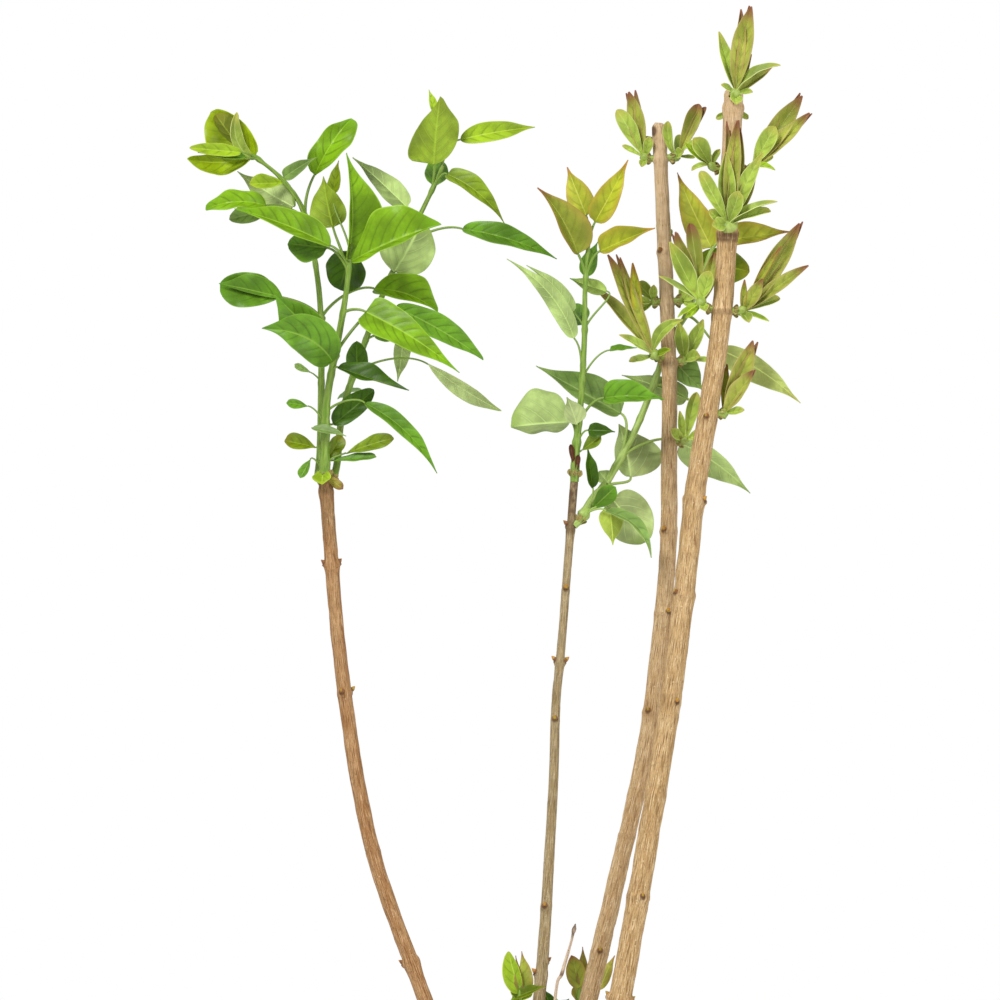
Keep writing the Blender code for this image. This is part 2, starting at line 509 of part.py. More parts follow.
class Route:
    """A smooth line through hand-set points, after a straight lead where it has one."""

    FINE = 12

    def __init__(self, points, radii, lead=None):
        corners = [Vector(point) for point in points]
        steps = (len(corners) - 1) * self.FINE
        self.places = [step / self.FINE for step in range(steps + 1)]
        self.line = [smooth_point(corners, place) for place in self.places]
        self.radii = radii
        if lead:
            self.places.insert(0, 0)
            self.line.insert(0, lead)
        self.lengths = [0.0]
        for a, b in zip(self.line, self.line[1:]):
            self.lengths.append(self.lengths[-1] + (b - a).length)
        self.length = self.lengths[-1]

    def where(self, share):
        """The piece of the line that holds this share, and how far along that piece it is."""
        goal = min(max(share, 0), 1) * self.length
        index = 0
        while index < len(self.line) - 2 and self.lengths[index + 1] < goal:
            index += 1
        span = self.lengths[index + 1] - self.lengths[index]
        return index, (goal - self.lengths[index]) / span

    def point(self, share):
        """The place on the line."""
        index, t = self.where(share)
        return self.line[index].lerp(self.line[index + 1], t)

    def heading(self, share):
        """The line's direction."""
        index, _ = self.where(share)
        return (self.line[index + 1] - self.line[index]).normalized()

    def radius(self, share):
        """The limb's radius, straight between the set ones."""
        index, t = self.where(share)
        place = self.places[index] + (self.places[index + 1] - self.places[index]) * t
        first = min(int(place), len(self.radii) - 2)
        return self.radii[first] + (self.radii[first + 1] - self.radii[first]) * (place - first)

    def share_at_height(self, height):
        """The share of the length where the line passes this height."""
        for index, (a, b) in enumerate(zip(self.line, self.line[1:])):
            if a.z <= height <= b.z:
                t = (height - a.z) / (b.z - a.z)
                return (self.lengths[index] + t * (b - a).length) / self.length
        return 1.0


def limb(name, route, shares, radii, sides):
    """A tapering round limb: a curve with filled caps, made a closed mesh object."""
    curve = bpy.data.curves.new(name, "CURVE")
    curve.dimensions = "3D"
    curve.bevel_depth = MM
    curve.bevel_resolution = sides // 2 - 2
    curve.use_fill_caps = True
    spline = curve.splines.new("POLY")
    spline.points.add(len(shares) - 1)
    for slot, share, radius in zip(spline.points, shares, radii):
        slot.co = (*(route.point(share) * MM), 1)
        slot.radius = radius
    drawn = bpy.data.objects.new(name, curve)
    bpy.context.scene.collection.objects.link(drawn)
    bpy.context.view_layer.update()
    mesh = bpy.data.meshes.new_from_object(drawn.evaluated_get(bpy.context.evaluated_depsgraph_get()))
    bpy.data.objects.remove(drawn)
    seam = bmesh.new()
    seam.from_mesh(mesh)
    bmesh.ops.remove_doubles(seam, verts=seam.verts, dist=SEAM_WELD * MM)
    bmesh.ops.recalc_face_normals(seam, faces=seam.faces)
    seam.to_mesh(mesh)
    seam.free()
    return bpy.data.objects.new(name, mesh)


def frustum(name, base, top, base_radius, top_radius, sides):
    """A cone cut short, between two points."""
    made = bmesh.new()
    axis = top - base
    turn = axis.to_track_quat("Z", "Y").to_matrix().to_4x4()
    middle = Matrix.Translation((base + top) * 0.5 * MM)
    bmesh.ops.create_cone(made, cap_ends=True, segments=sides, radius1=base_radius * MM,
                          radius2=top_radius * MM, depth=axis.length * MM, matrix=middle @ turn)
    mesh = bpy.data.meshes.new(name)
    made.to_mesh(mesh)
    made.free()
    return bpy.data.objects.new(name, mesh)


def loft(name, rings):
    """A closed body through rings of like count, the last of which may be a single point."""
    made = bmesh.new()
    rows = [[made.verts.new(point * MM) for point in ring] for ring in rings]
    made.faces.new(rows[0])
    count = len(rows[0])
    for lower, upper in zip(rows, rows[1:]):
        for index in range(count):
            following = (index + 1) % count
            if len(upper) == 1:
                made.faces.new((lower[index], lower[following], upper[0]))
            else:
                made.faces.new((lower[index], lower[following], upper[following], upper[index]))
    if len(rows[-1]) > 1:
        made.faces.new(rows[-1])
    bmesh.ops.recalc_face_normals(made, faces=made.faces)
    mesh = bpy.data.meshes.new(name)
    made.to_mesh(mesh)
    made.free()
    return bpy.data.objects.new(name, mesh)


def leaf_axes(spec):
    """The blade's length direction, its upper normal and its width direction."""
    along = spec["blade"].normalized()
    facing = (FRONT - along * FRONT.dot(along)).normalized()
    beside = along.cross(facing)
    if beside.z + UPRIGHT_TIE * beside.x < 0:
        beside = -beside
    normal = facing * math.cos(spec["turn"]) + beside * math.sin(spec["turn"])
    return along, normal, along.cross(normal)


def half_width(spec, t):
    """Half the blade's width at a share of its length."""
    rise, fall = OUTLINES[spec["kind"]]
    peak = rise / (rise + fall)
    return spec["width"] / 2 * (t / peak) ** rise * ((1 - t) / (1 - peak)) ** fall


def stalk_line(spec, joint, heading, along):
    """Points down the stalk with their directions: it leaves along the shoot and turns into the blade."""
    span = spec["stalk"].length
    if span == 0:
        return [(joint - along * ROOT_SINK, along)]
    out = spec["stalk"].normalized()
    end = joint + spec["stalk"]
    if span < LONG_STALK:
        return [(joint, out), (end, along)]
    middle = (joint + end) / 2 + (heading + out - along) * (span * STALK_CURVE)
    return [(joint, out), (middle, out), (end, along)]


def leaf_solid(name, spec, joint, heading):
    """One leaf in one piece: its stalk, then a thin blade folded along its midrib, to a pointed tip."""
    along, upper, across = leaf_axes(spec)
    stalk = min(STALK_RADIUS, LEAST_STALK + STALK_BY_WIDTH * spec["width"])
    rings = []
    for point, direction in stalk_line(spec, joint, heading, along):
        turned = along.rotation_difference(direction)
        side = turned @ across * stalk
        rise = turned @ upper * stalk
        rings.append((point + side, point + rise, point - side, point - rise))
    base = joint + spec["stalk"]
    length = spec["blade"].length
    thick = max(BLADE_THICKNESS * length, LEAST_THICKNESS) / 2
    for t in LONG_STATIONS if length > LONG_BLADE else SHORT_STATIONS:
        arch = 4 * t * (1 - t)
        slope = (4 - 8 * t) / length
        middle = base + spec["blade"] * t + upper * (spec["bow"] * arch) + across * (spec["sway"] * arch)
        tangent = (along + (upper * spec["bow"] + across * spec["sway"]) * slope).normalized()
        normal = (upper - tangent * upper.dot(tangent)).normalized()
        reach = half_width(spec, t)
        side = tangent.cross(normal) * (reach * math.cos(spec["fold"]))
        rise = normal * (reach * math.sin(spec["fold"]))
        rib = normal * thick
        rings.append((middle + side + rise, middle + rib, middle - side + rise, middle - rib))
    rings.append((base + spec["blade"],))
    return loft(name, rings)


def joined(base, pieces, solver="EXACT"):
    """One Boolean union of a body with a collection of pieces, applied, and the pieces removed."""
    scene = bpy.context.scene.collection
    scene.objects.link(base)
    group = bpy.data.collections.new(base.name + "_pieces")
    scene.children.link(group)
    for piece in pieces:
        group.objects.link(piece)
    union = base.modifiers.new("union", "BOOLEAN")
    union.operation = "UNION"
    union.operand_type = "COLLECTION"
    union.collection = group
    union.solver = solver
    bpy.context.view_layer.update()
    mesh = bpy.data.meshes.new_from_object(base.evaluated_get(bpy.context.evaluated_depsgraph_get()))
    base.modifiers.clear()
    base.data = mesh
    for piece in pieces:
        bpy.data.objects.remove(piece)
    bpy.data.collections.remove(group)
    scene.objects.unlink(base)
    keep_outer_body(mesh)
    return base


def surfaces_of(body):
    """The faces of each closed surface: two that only touch at a point or an edge stay apart."""
    unseen = set(body.faces)
    surfaces = []
    while unseen:
        surface = {unseen.pop()}
        edge_of = list(surface)
        while edge_of:
            for edge in edge_of.pop().edges:
                if len(edge.link_faces) != 2:
                    continue
                for face in edge.link_faces:
                    if face in unseen:
                        unseen.discard(face)
                        surface.add(face)
                        edge_of.append(face)
        surfaces.append(surface)
    return surfaces


def keep_outer_body(mesh):
    """Keeps the largest closed surface, so that a sealed hollow is filled and loose scrap is dropped."""
    body = bmesh.new()
    body.from_mesh(mesh)
    bmesh.ops.remove_doubles(body, verts=body.verts, dist=UNION_WELD * MM)
    bmesh.ops.triangulate(body, faces=body.faces)
    surfaces = surfaces_of(body)
    biggest = max(surfaces, key=len)
    scrap = [face for surface in surfaces if surface is not biggest for face in surface]
    bmesh.ops.delete(body, geom=scrap, context="FACES")
    body.to_mesh(mesh)
    body.free()


def place(obj, group, colour, roughness, smooth):
    """Puts a finished object in the bush's collection with a material of its own."""
    group.objects.link(obj)
    obj.data.materials.clear()
    obj.data.materials.append(finish_named(obj.name, colour, roughness))
    if smooth:
        obj.data.shade_smooth()
        obj.data.set_sharp_from_angle(angle=math.radians(SHARP_ANGLE))


def stem_shares(route, nodes):
    """Where a stem's rings go: evenly, with three rings of its own at each node."""
    steps = round(route.length / STEM_STEP)
    shares = [step / steps for step in range(steps + 1)]
    for height in nodes:
        middle = route.share_at_height(height)
        clear = NODE_CLEAR / route.length
        shares = [share for share in shares if abs(share - middle) > clear or share in (0, 1)]
        shares += [middle + side * NODE_HALF_LENGTH / route.length for side in (-1, 0, 1)]
    return sorted(share for share in set(shares) if 0 <= share <= 1)


def stem_radius(stem, route, share):
    """The stem's radius with its swelling at the nodes."""
    swell = 0
    for height in stem["nodes"]:
        apart = abs(share - route.share_at_height(height)) * route.length
        swell = max(swell, NODE_SWELL * math.exp(-(apart / NODE_REACH) ** 2))
    return route.radius(share) * (1 + swell)


def seat_on_stem(stem_name, height, degrees, lift=0):
    """The stem's middle at a height, the way out of it, and the way's length as far as the bark."""
    stem = STEMS[stem_name]
    route = Route(stem["route"], stem["radii"])
    share = route.share_at_height(height)
    heading = route.heading(share)
    level = Vector((math.cos(math.radians(degrees)), math.sin(math.radians(degrees)), 0))
    across = (level - heading * level.dot(heading)).normalized()
    slope = math.radians(lift)
    outward = across * math.cos(slope) + heading * math.sin(slope)
    return route.point(share), outward, stem_radius(stem, route, share) / math.cos(slope)


def seat_rise(mass):
    """How far a seat stands out of the bark: more where it leans, so that its shoot is clear of the stem."""
    foot = mass["radii"][0] if "radii" in mass else SPUR_RADII[0]
    lift = mass["seat"][3] if len(mass["seat"]) > 3 else 0
    return SEAT_RISE + foot * math.tan(math.radians(lift))


def mass_route(mass):
    """The line of a mass's own shoot: from its first point, or from just clear of its seat on a stem."""
    if "seat" not in mass:
        return Route(mass["route"], mass["radii"])
    middle, outward, bark = seat_on_stem(*mass["seat"])
    start = middle + outward * (bark + seat_rise(mass) + GAP)
    straight = start + outward * STRAIGHT
    if "route" in mass:
        return Route((straight, *mass["route"]), mass["radii"], start)
    end = start + outward * mass["reach"] + UP * mass["rise"]
    return Route((straight, end), SPUR_RADII, start)


def build_bud(name, stem_name, height, degrees):
    """A small pointed bud above a leaf scar."""
    middle, outward, bark = seat_on_stem(stem_name, height, degrees)
    tip = middle + outward * (bark + BUD_REACH) + UP * BUD_REACH
    return frustum(name, middle + outward * (bark * BUD_ROOT), tip, BUD_RADIUS, BUD_TIP_RADIUS, BUD_SIDES)


def build_seat(name, mass):
    """The raised seat that a shoot or a spur stands on."""
    middle, outward, bark = seat_on_stem(*mass["seat"])
    foot = mass_route(mass).radius(0)
    top = middle + outward * (bark + seat_rise(mass))
    return frustum(name, middle + outward * (bark * BUD_ROOT), top, foot * SEAT_FLARE, foot, SEAT_SIDES)


def build_stem(name, group):
    """A woody stem with swollen nodes, its buds, and a seat for each shoot that breaks from it."""
    stem = STEMS[name]
    route = Route(stem["route"], stem["radii"])
    shares = stem_shares(route, stem["nodes"])
    wood = limb(name, route, shares, [stem_radius(stem, route, share) for share in shares], STEM_SIDES)
    pieces = [build_bud(f"{name}_bud_{index}", name, *bud) for index, bud in enumerate(stem["buds"])]
    for mass_name, mass in {**SHOOTS, **CLUSTERS}.items():
        if "seat" in mass and mass["seat"][0] == name:
            pieces.append(build_seat(mass_name + "_seat", mass))
    place(joined(wood, pieces), group, stem["colour"], BARK_ROUGHNESS, True)


def build_crown(group):
    """The root crown: a lobed flare from its flat cut at the ground, with a boss under each stem."""
    rings = []
    for rise, scale in CROWN_PROFILE:
        ring = []
        for side in range(CROWN_SIDES):
            angle = math.tau * side / CROWN_SIDES
            reach = scale * (1 + CROWN_LOBE_DEPTH * math.cos(CROWN_LOBES * angle) * (1 - rise))
            ring.append(Vector((CROWN_CENTRE[0] + CROWN_HALF_WIDTH * reach * math.cos(angle),
                                CROWN_CENTRE[1] + CROWN_HALF_DEPTH * reach * math.sin(angle),
                                CROWN_HEIGHT * rise)))
        rings.append(ring)
    pieces = []
    for name, limb_spec in {**STEMS, **SHOOTS, "dry_twig": DRY_TWIG}.items():
        start = Vector(limb_spec["route"][0])
        if start.z > CROWN_REACH:
            continue
        route = Route(limb_spec["route"], limb_spec["radii"])
        down = -route.heading(0)
        top = start + down * GAP
        root = top + down * (top.z - CROWN_HEIGHT + BOSS_DEPTH)
        pieces.append(frustum(name + "_boss", root, top, route.radius(0) * BOSS_FLARE,
                              route.radius(0) * BOSS_SHOULDER, BOSS_SIDES))
    place(joined(loft("root_crown", rings), pieces), group, ROOT_COLOUR, BARK_ROUGHNESS, True)


def build_twig(group):
    """The old dead twig beside the centre stem."""
    route = Route(DRY_TWIG["route"], DRY_TWIG["radii"])
    shares = [step / TWIG_STEPS for step in range(TWIG_STEPS + 1)]
    twig = limb("dry_twig", route, shares, [route.radius(share) for share in shares], SHOOT_SIDES)
    place(twig, group, DRY_TWIG["colour"], BARK_ROUGHNESS, True)


def build_mass(name, mass, group):
    """A mass of foliage: one shoot or spur with its leaves fused on."""
    route = mass_route(mass)
    first = STRAIGHT / route.length
    steps = max(1, round(route.length / SHOOT_RING_STEP))
    shares = [0] + [first + (1 - first) * step / steps for step in range(steps + 1)]
    shoot = limb(name, route, shares, [route.radius(share) for share in shares], SHOOT_SIDES)
    pieces = []
    for index, spec in enumerate(mass["leaves"]):
        joint = route.point(spec["at"])
        pieces.append(leaf_solid(f"{name}_leaf_{index}", spec, joint, route.heading(spec["at"])))
    place(joined(shoot, pieces, "MANIFOLD"), group, LEAF_COLOUR, LEAF_ROUGHNESS, False)


def main():
    """Builds the whole bush."""
    clear_scene()
    bush = collection_named("lilac_bush")
    build_crown(bush)
    for name in STEMS:
        build_stem(name, bush)
    build_twig(bush)
    for name, mass in {**SHOOTS, **CLUSTERS}.items():
        build_mass(name, mass, bush)


main()
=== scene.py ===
"""The lilac bush with its full looks: bark in relief, veined leaf blades, stalks, bud scales and studio light."""

import math
import random

import bmesh
import bpy
import numpy as np
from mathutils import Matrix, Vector


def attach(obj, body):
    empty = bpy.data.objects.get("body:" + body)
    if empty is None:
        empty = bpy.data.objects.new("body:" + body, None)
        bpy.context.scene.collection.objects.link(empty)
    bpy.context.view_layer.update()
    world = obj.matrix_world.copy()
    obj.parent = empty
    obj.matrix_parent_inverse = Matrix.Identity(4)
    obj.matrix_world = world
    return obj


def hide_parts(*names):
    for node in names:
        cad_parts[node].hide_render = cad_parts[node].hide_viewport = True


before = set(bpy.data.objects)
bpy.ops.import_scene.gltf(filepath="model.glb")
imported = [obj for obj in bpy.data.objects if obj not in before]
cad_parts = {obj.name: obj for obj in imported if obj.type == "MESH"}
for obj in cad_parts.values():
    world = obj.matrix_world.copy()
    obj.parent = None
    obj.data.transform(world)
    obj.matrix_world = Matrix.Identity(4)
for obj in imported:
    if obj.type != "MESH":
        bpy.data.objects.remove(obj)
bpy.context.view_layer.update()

# Lengths are in millimetres and become metres where a piece is made
MM = 0.001

# The plant's frame: X to the right, Y to the back, Z up from the ground
FRONT = Vector((0, -1, 0))
UP = Vector((0, 0, 1))
SEED = 11

# Where the woody stems and the root crown go, as in the solids
CROWN_CENTRE = (4, 8)
CROWN_HALF_WIDTH = 36
CROWN_HALF_DEPTH = 32
CROWN_HEIGHT = 25
CROWN_PROFILE = ((0, 1.0), (0.16, 0.93), (0.4, 0.77), (0.7, 0.58), (0.92, 0.42), (1.0, 0.28))
CROWN_LOBES = 5
CROWN_LOBE_DEPTH = 0.13
NODE_SWELL = 0.14
NODE_REACH = 2.9
SEAT_RISE = 1.3
STRAIGHT = 1.2
SPUR_RADII = (1.9, 1.2)

# Leaf outlines: powers by which the half-width rises and falls along the blade, and how much its tip is drawn in
OUTLINES = {"heart": (0.42, 1.15, 0.45), "lance": (0.62, 1.1, 0.4), "spoon": (1.15, 0.55, 0.0),
            "bud": (0.95, 0.85, 0.15), "round": (0.45, 0.55, 0.1)}
DRIP = (0.62, 0.95)
LEAST_HALF_WIDTH = 0.12
WIDE_BLADE = 12
BLADE_ROW = 0.9
LEAST_ROWS = 9
MOST_ROWS = 72
BLADE_EDGE = 0.3
FOLD_SOFTNESS = 0.12
HOOK_START = 0.35
VEIN_SPACING = 7.0
VEIN_SLANT = 0.75
VEIN_CURVE = 0.6
VEIN_CROWDING = 0.85
QUILT = 0.055
SWELL_ROUNDNESS = 0.7
TIP_LEAN = 0.07
UNEVEN = 0.12
GROOVE = 0.22
GROOVE_REACH = 0.7
RIB_DEPTH = 0.55
RIB_REACH = 0.55
STALK_RADIUS = 0.75
LEAST_STALK = 0.35
STALK_BY_WIDTH = 0.02
UPRIGHT_TIE = 0.001

# The stems' bark in relief
BARK_ROW = 1.1
BARK_SIDES = 56
RIDGE = 0.09
CRACK = 0.16
LUMP = 0.05
SCAR_SHELF = 0.75
SCAR_DENT = 0.35
NODE_LINE = 0.18
FOOT_SINK = 14
FOOT_FLARE = 0.12
FOOT_REACH = 18
BARK_SWELL = 0.2
SWELL_ROUND = 0.15
SWELL_BELOW = 4.5
SWELL_ABOVE = 1.3
BUD_LENGTH = 3.4
BUD_RADIUS = 1.15
BUD_SHAPE = (0.5, 0.95, 1.05, 1.0, 0.88, 0.66, 0.4, 0.12)
# A bud's scales: how far each stands beside the middle, its share of the length, and its finish
BUD_SCALES = ((0, 1.0, 0), (-0.55, 0.7, 1), (0.55, 0.75, 1))
CUT_SLOPES = {"stem_right_front": 0.35, "stem_right_back": -0.12}
CROWN_REACH = 60
BOSS_DEPTH = 21
BOSS_RINGS = 18
# A boss: how far up it each width lies, and the width as a share of the stem's
BOSS_FLARE = ((0, 2.2), (0.3, 1.75), (0.6, 1.35), (0.85, 1.1), (1, 1.0))
CROWN_VOXEL = 0.0009
FURROW = 2.0
# How often the bark pattern repeats round the crown, and how far it runs on over its top
CROWN_TURNS = 4
CROWN_OVER = 0.7

# Green shoots and what stands at their feet
SHOOT_ROW = 1.2
JOINT_SWELL = 0.14
JOINT_REACH = 1.8
PALE_SHOOTS = ("foliage_centre_side",)
SCALES_ON_SHOOT = 8
SCALES_ON_SPUR = 6
ROOT_LAP = 3.0
# How dark the sunk side veins are beside the face: painted shade in their grooves
VEIN_GROOVE_SHADE = 0.68
# Inner leaves of a young sheaf: how far each tip stands aside as a share of the width, its depth, its length share
SHEAF = ((0.14, 1.0, 1.0), (-0.12, 1.5, 0.97))
SHEAF_WIDTH = 0.52
SHEAF_LENGTH = 26
SHEAF_LEAST = 10
TOP_DRAWN_IN = 0.5
UPPER_VEIN = 0.62
UPPER_RIB = 0.7
UNDER_VEIN = 0.6
UNDER_RIB = 0.8

# Leaf tints: face, veins, margin, tip and underside as screen colours, how strong the veining is,
# and how far the margin colour flushes inwards
TINTS = {
    # vivid: partly the young leaves' own bright yellow-green, partly painted light, the glow of light shining on and
    # through the blade
    "vivid": ((118, 161, 18), (161, 198, 64), (154, 196, 60), (115, 163, 24), (150, 175, 64), 1.0),
    "mid": ((98, 145, 32), (138, 176, 66), (126, 166, 56), (96, 144, 34), (146, 170, 78), 0.9),
    # dark: a darker copy of the green, given to leaves that lie in shade: painted shade
    "dark": ((60, 95, 4), (95, 132, 28), (82, 119, 20), (58, 93, 8), (115, 140, 44), 0.6),
    "moss": ((107, 128, 11), (146, 165, 44), (142, 152, 31), (122, 124, 24), (140, 152, 47), 0.8),
    "lemon": ((150, 181, 35), (190, 210, 82), (196, 212, 85), (161, 183, 47), (171, 192, 73), 0.6),
    "light": ((162, 184, 74), (188, 206, 112), (220, 228, 152), (178, 178, 82), (182, 196, 106), 0.2),
    "gold": ((168, 176, 42), (202, 206, 84), (182, 140, 52), (184, 132, 50), (184, 188, 76), 0.3, 0.5),
    "amber": ((182, 190, 60), (212, 216, 102), (176, 134, 56), (172, 116, 52), (198, 198, 94), 0.2, 0.5),
    "bronze": ((152, 162, 54), (174, 180, 84), (158, 118, 58), (150, 98, 60), (160, 162, 78), 0.25, 0.55),
    "olive": ((122, 148, 28), (161, 183, 64), (134, 154, 42), (128, 144, 37), (130, 154, 38), 0.9),
    "umber": ((142, 134, 52), (165, 156, 74), (128, 92, 48), (126, 82, 50), (152, 146, 68), 0.2, 0.6),
    "straw": ((184, 186, 82), (210, 210, 112), (180, 140, 64), (176, 130, 62), (190, 188, 94), 0.2, 0.5),
    "grey": ((124, 156, 74), (160, 184, 112), (150, 172, 100), (134, 158, 84), (168, 184, 120), 0.8),
    "pale": ((112, 150, 54), (168, 190, 112), (152, 176, 94), (140, 166, 80), (164, 187, 110), 0.8),
    # ash: a lighter copy of pale, given to leaf undersides that lie in the shadow of other leaves: painted light
    "ash": ((128, 160, 74), (172, 194, 116), (162, 182, 108), (150, 172, 92), (180, 199, 126), 0.8),
    "sheen": ((150, 178, 84), (180, 200, 118), (190, 206, 110), (158, 182, 76), (164, 186, 98), 0.5),
    "cup": ((150, 176, 14), (178, 200, 50), (196, 210, 74), (152, 176, 22), (158, 182, 32), 1.0),
    "rust": ((92, 56, 34), (128, 88, 44), (88, 50, 28), (80, 42, 28), (116, 78, 40), 0.1),
    "wine": ((166, 170, 78), (182, 174, 96), (180, 146, 98), (138, 88, 70), (168, 160, 86), 0.1, 0.5),
    "plum": ((162, 172, 68), (178, 184, 96), (186, 168, 106), (142, 90, 66), (168, 172, 88), 0.12, 0.45),
}

# Barks: face, pale and dark parts, and lenticels, as screen colours
BARKS = {
    "stem_left": ((165, 119, 73), (183, 143, 98), (98, 58, 26), (214, 178, 136)),
    "stem_centre": ((160, 137, 95), (182, 160, 119), (88, 69, 40), (214, 198, 162)),
    "stem_right_back": ((192, 156, 109), (206, 176, 131), (124, 88, 52), (232, 208, 168)),
    "stem_right_front": ((186, 151, 101), (202, 168, 119), (114, 77, 42), (230, 204, 160)),
}
# The band at a node: its reach and strength, and the notch under a bud
NODE_BAND = (2.2, 0.14)
NOTCH_REACH = 2.4
# Dark scars on the bark: height, way round and reach
SCARS = {"stem_right_back": ((627, 205, 4.0),)}
TOP_ROUNDING = 2.8
NOTCH_COLOUR = (78, 48, 26)

# Stains, paler stretches and painted shadow on the bark, as bands: height, reach, strength and colour
STAINS_AND_PAINTED_SHADOWS = {
    "stem_left": [(424, 30, 0.45, (112, 92, 60))],
    "stem_centre": [(436, 36, 0.85, (86, 60, 42)), (408, 5, 0.5, (96, 72, 46))],
    # The pale bands at 585 here and at 625 on the front stem make the upper part of the right stems paler
    "stem_right_back": [(500, 3, 0.3, (92, 62, 42)), (585, 90, 0.6, (222, 194, 158))],
    # The narrow dark bands at 568 and 527 lie just under cluster seats: painted shadow of the clusters on the stem
    "stem_right_front": [(625, 50, 0.5, (220, 192, 156)), (652, 3.5, 0.7, (92, 64, 42)), (568, 4, 0.8, (88, 62, 44)), (527, 2.5, 0.35, (76, 48, 32))],
}
TWIG_BANDS = [(190, 10, 1.0, (52, 32, 26)), (163, 2.2, 0.8, (112, 76, 54))]
CROWN_BARK = ((158, 126, 88), (184, 154, 112), (96, 66, 40), (204, 178, 138))
TWIG_BARK = ((222, 194, 162), (236, 212, 184), (172, 136, 104), (240, 224, 206))

# Studio: light from all round, lamps by place, width and watts, and the floor
SKY_STRENGTH = 0.52
AIM = (0, 0, 0.42)
LAMPS = (("key_lamp", (-1.0, -1.5, 2.1), 0.8, 44), ("fill_lamp", (1.6, -1.5, 0.9), 1.2, 19))
FLOOR_RADIUS = 1.4

# The picture: how wide a stretch of the plant it takes in, and its middle
PICTURE_WIDTH = 0.55
PICTURE_MIDDLE = (-0.0165, 0.4235)
CAMERA_DISTANCE = 8.0
SENSOR = 36


def leaf(at, stalk, blade, width, turn=0, fold=15, bow=0, sway=0, kind="heart", tint="mid",
         roll=0.35, curl=0.1, ripple=0.08, hook=0, twist=0, left=None, right=None):
    """One leaf: where it joins its shoot (a share of the length), its stalk, its blade and its width.

    A half whose outline is its own gives its share of the half-width and the powers of its rise and fall.
    """
    return dict(at=at, stalk=Vector(stalk), blade=Vector(blade), width=width, turn=math.radians(turn),
                fold=math.radians(fold), bow=bow, sway=sway, kind=kind, tint=tint, roll=roll, curl=curl,
                ripple=ripple, hook=hook, twist=twist, left=left, right=right)




STEMS = {
    "stem_left": dict(
        colour=(0.30, 0.17, 0.08),
        route=((-16.5, -5, 36), (-58, 4, 149), (-88, 7, 236), (-104, 8, 333), (-112.8, 6, 435.5)),
        radii=(5.4, 4.3, 4.1, 3.9, 3.8),
        nodes=(170, 231, 318, 389, 429),
        buds=((170, 180), (231, 80), (318, 250), (318, 20), (389, 185), (389, 5)),
    ),
    "stem_centre": dict(
        colour=(0.26, 0.20, 0.13),
        route=((-10, 12, 36), (5, 12, 149), (12.4, 10, 258), (14.2, 8, 310), (17.5, 6, 346), (24.5, 3, 435.5)),
        radii=(4.4, 3.5, 2.6, 2.5, 2.3, 2.2),
        nodes=(163, 200, 258, 303, 335, 375, 408),
        buds=((163, 200), (170, 10), (200, 255), (258, 90), (303, 265), (335, 180), (335, 0), (375, 270),
              (410, 185)),
    ),
    "stem_right_back": dict(
        colour=(0.42, 0.28, 0.15),
        route=((4.5, 18, 36), (32.5, 21, 149), (60.8, 20, 272), (70.2, 20, 333), (76, 20, 392), (76.6, 20, 440),
               (76.5, 20, 506), (71, 20, 631.5)),
        radii=(6.4, 5.1, 4.7, 4.7, 4.6, 4.5, 4.1, 3.9),
        nodes=(175, 239, 307, 362, 407, 456, 500, 533, 561, 612),
        buds=((175, 270), (239, 100), (307, 250), (362, 300), (407, 240), (561, 235)),
    ),
    "stem_right_front": dict(
        colour=(0.40, 0.27, 0.15),
        route=((27, -4, 36), (49.5, -4, 149), (72, -4, 280), (80, -4, 333), (87.2, -4, 395), (91.2, -4, 431),
               (105.6, -4, 528), (112.2, -4, 650)),
        radii=(7.8, 6.3, 5.8, 5.8, 5.8, 5.6, 5.5, 5.2),
        nodes=(150, 206, 262, 317, 372, 424, 469, 528, 571, 608, 640),
        buds=((150, 180), (150, 0), (206, 290), (262, 90), (313, 305), (372, 225), (424, 330), (469, 265)),
    ),
}
DRY_TWIG = dict(
    colour=(0.26, 0.20, 0.13),
    route=((5, 4, 28), (9.5, 5, 100), (14.3, 5, 153), (17.6, 5, 163), (22.6, 5, 180), (23.6, 5, 184.5),
           (24.3, 5, 187.2), (25, 5, 190.3)),
    radii=(1.3, 1.0, 0.8, 1.0, 0.7, 0.7, 1.3, 0.25),
)

NONE = (0, 0, 0)

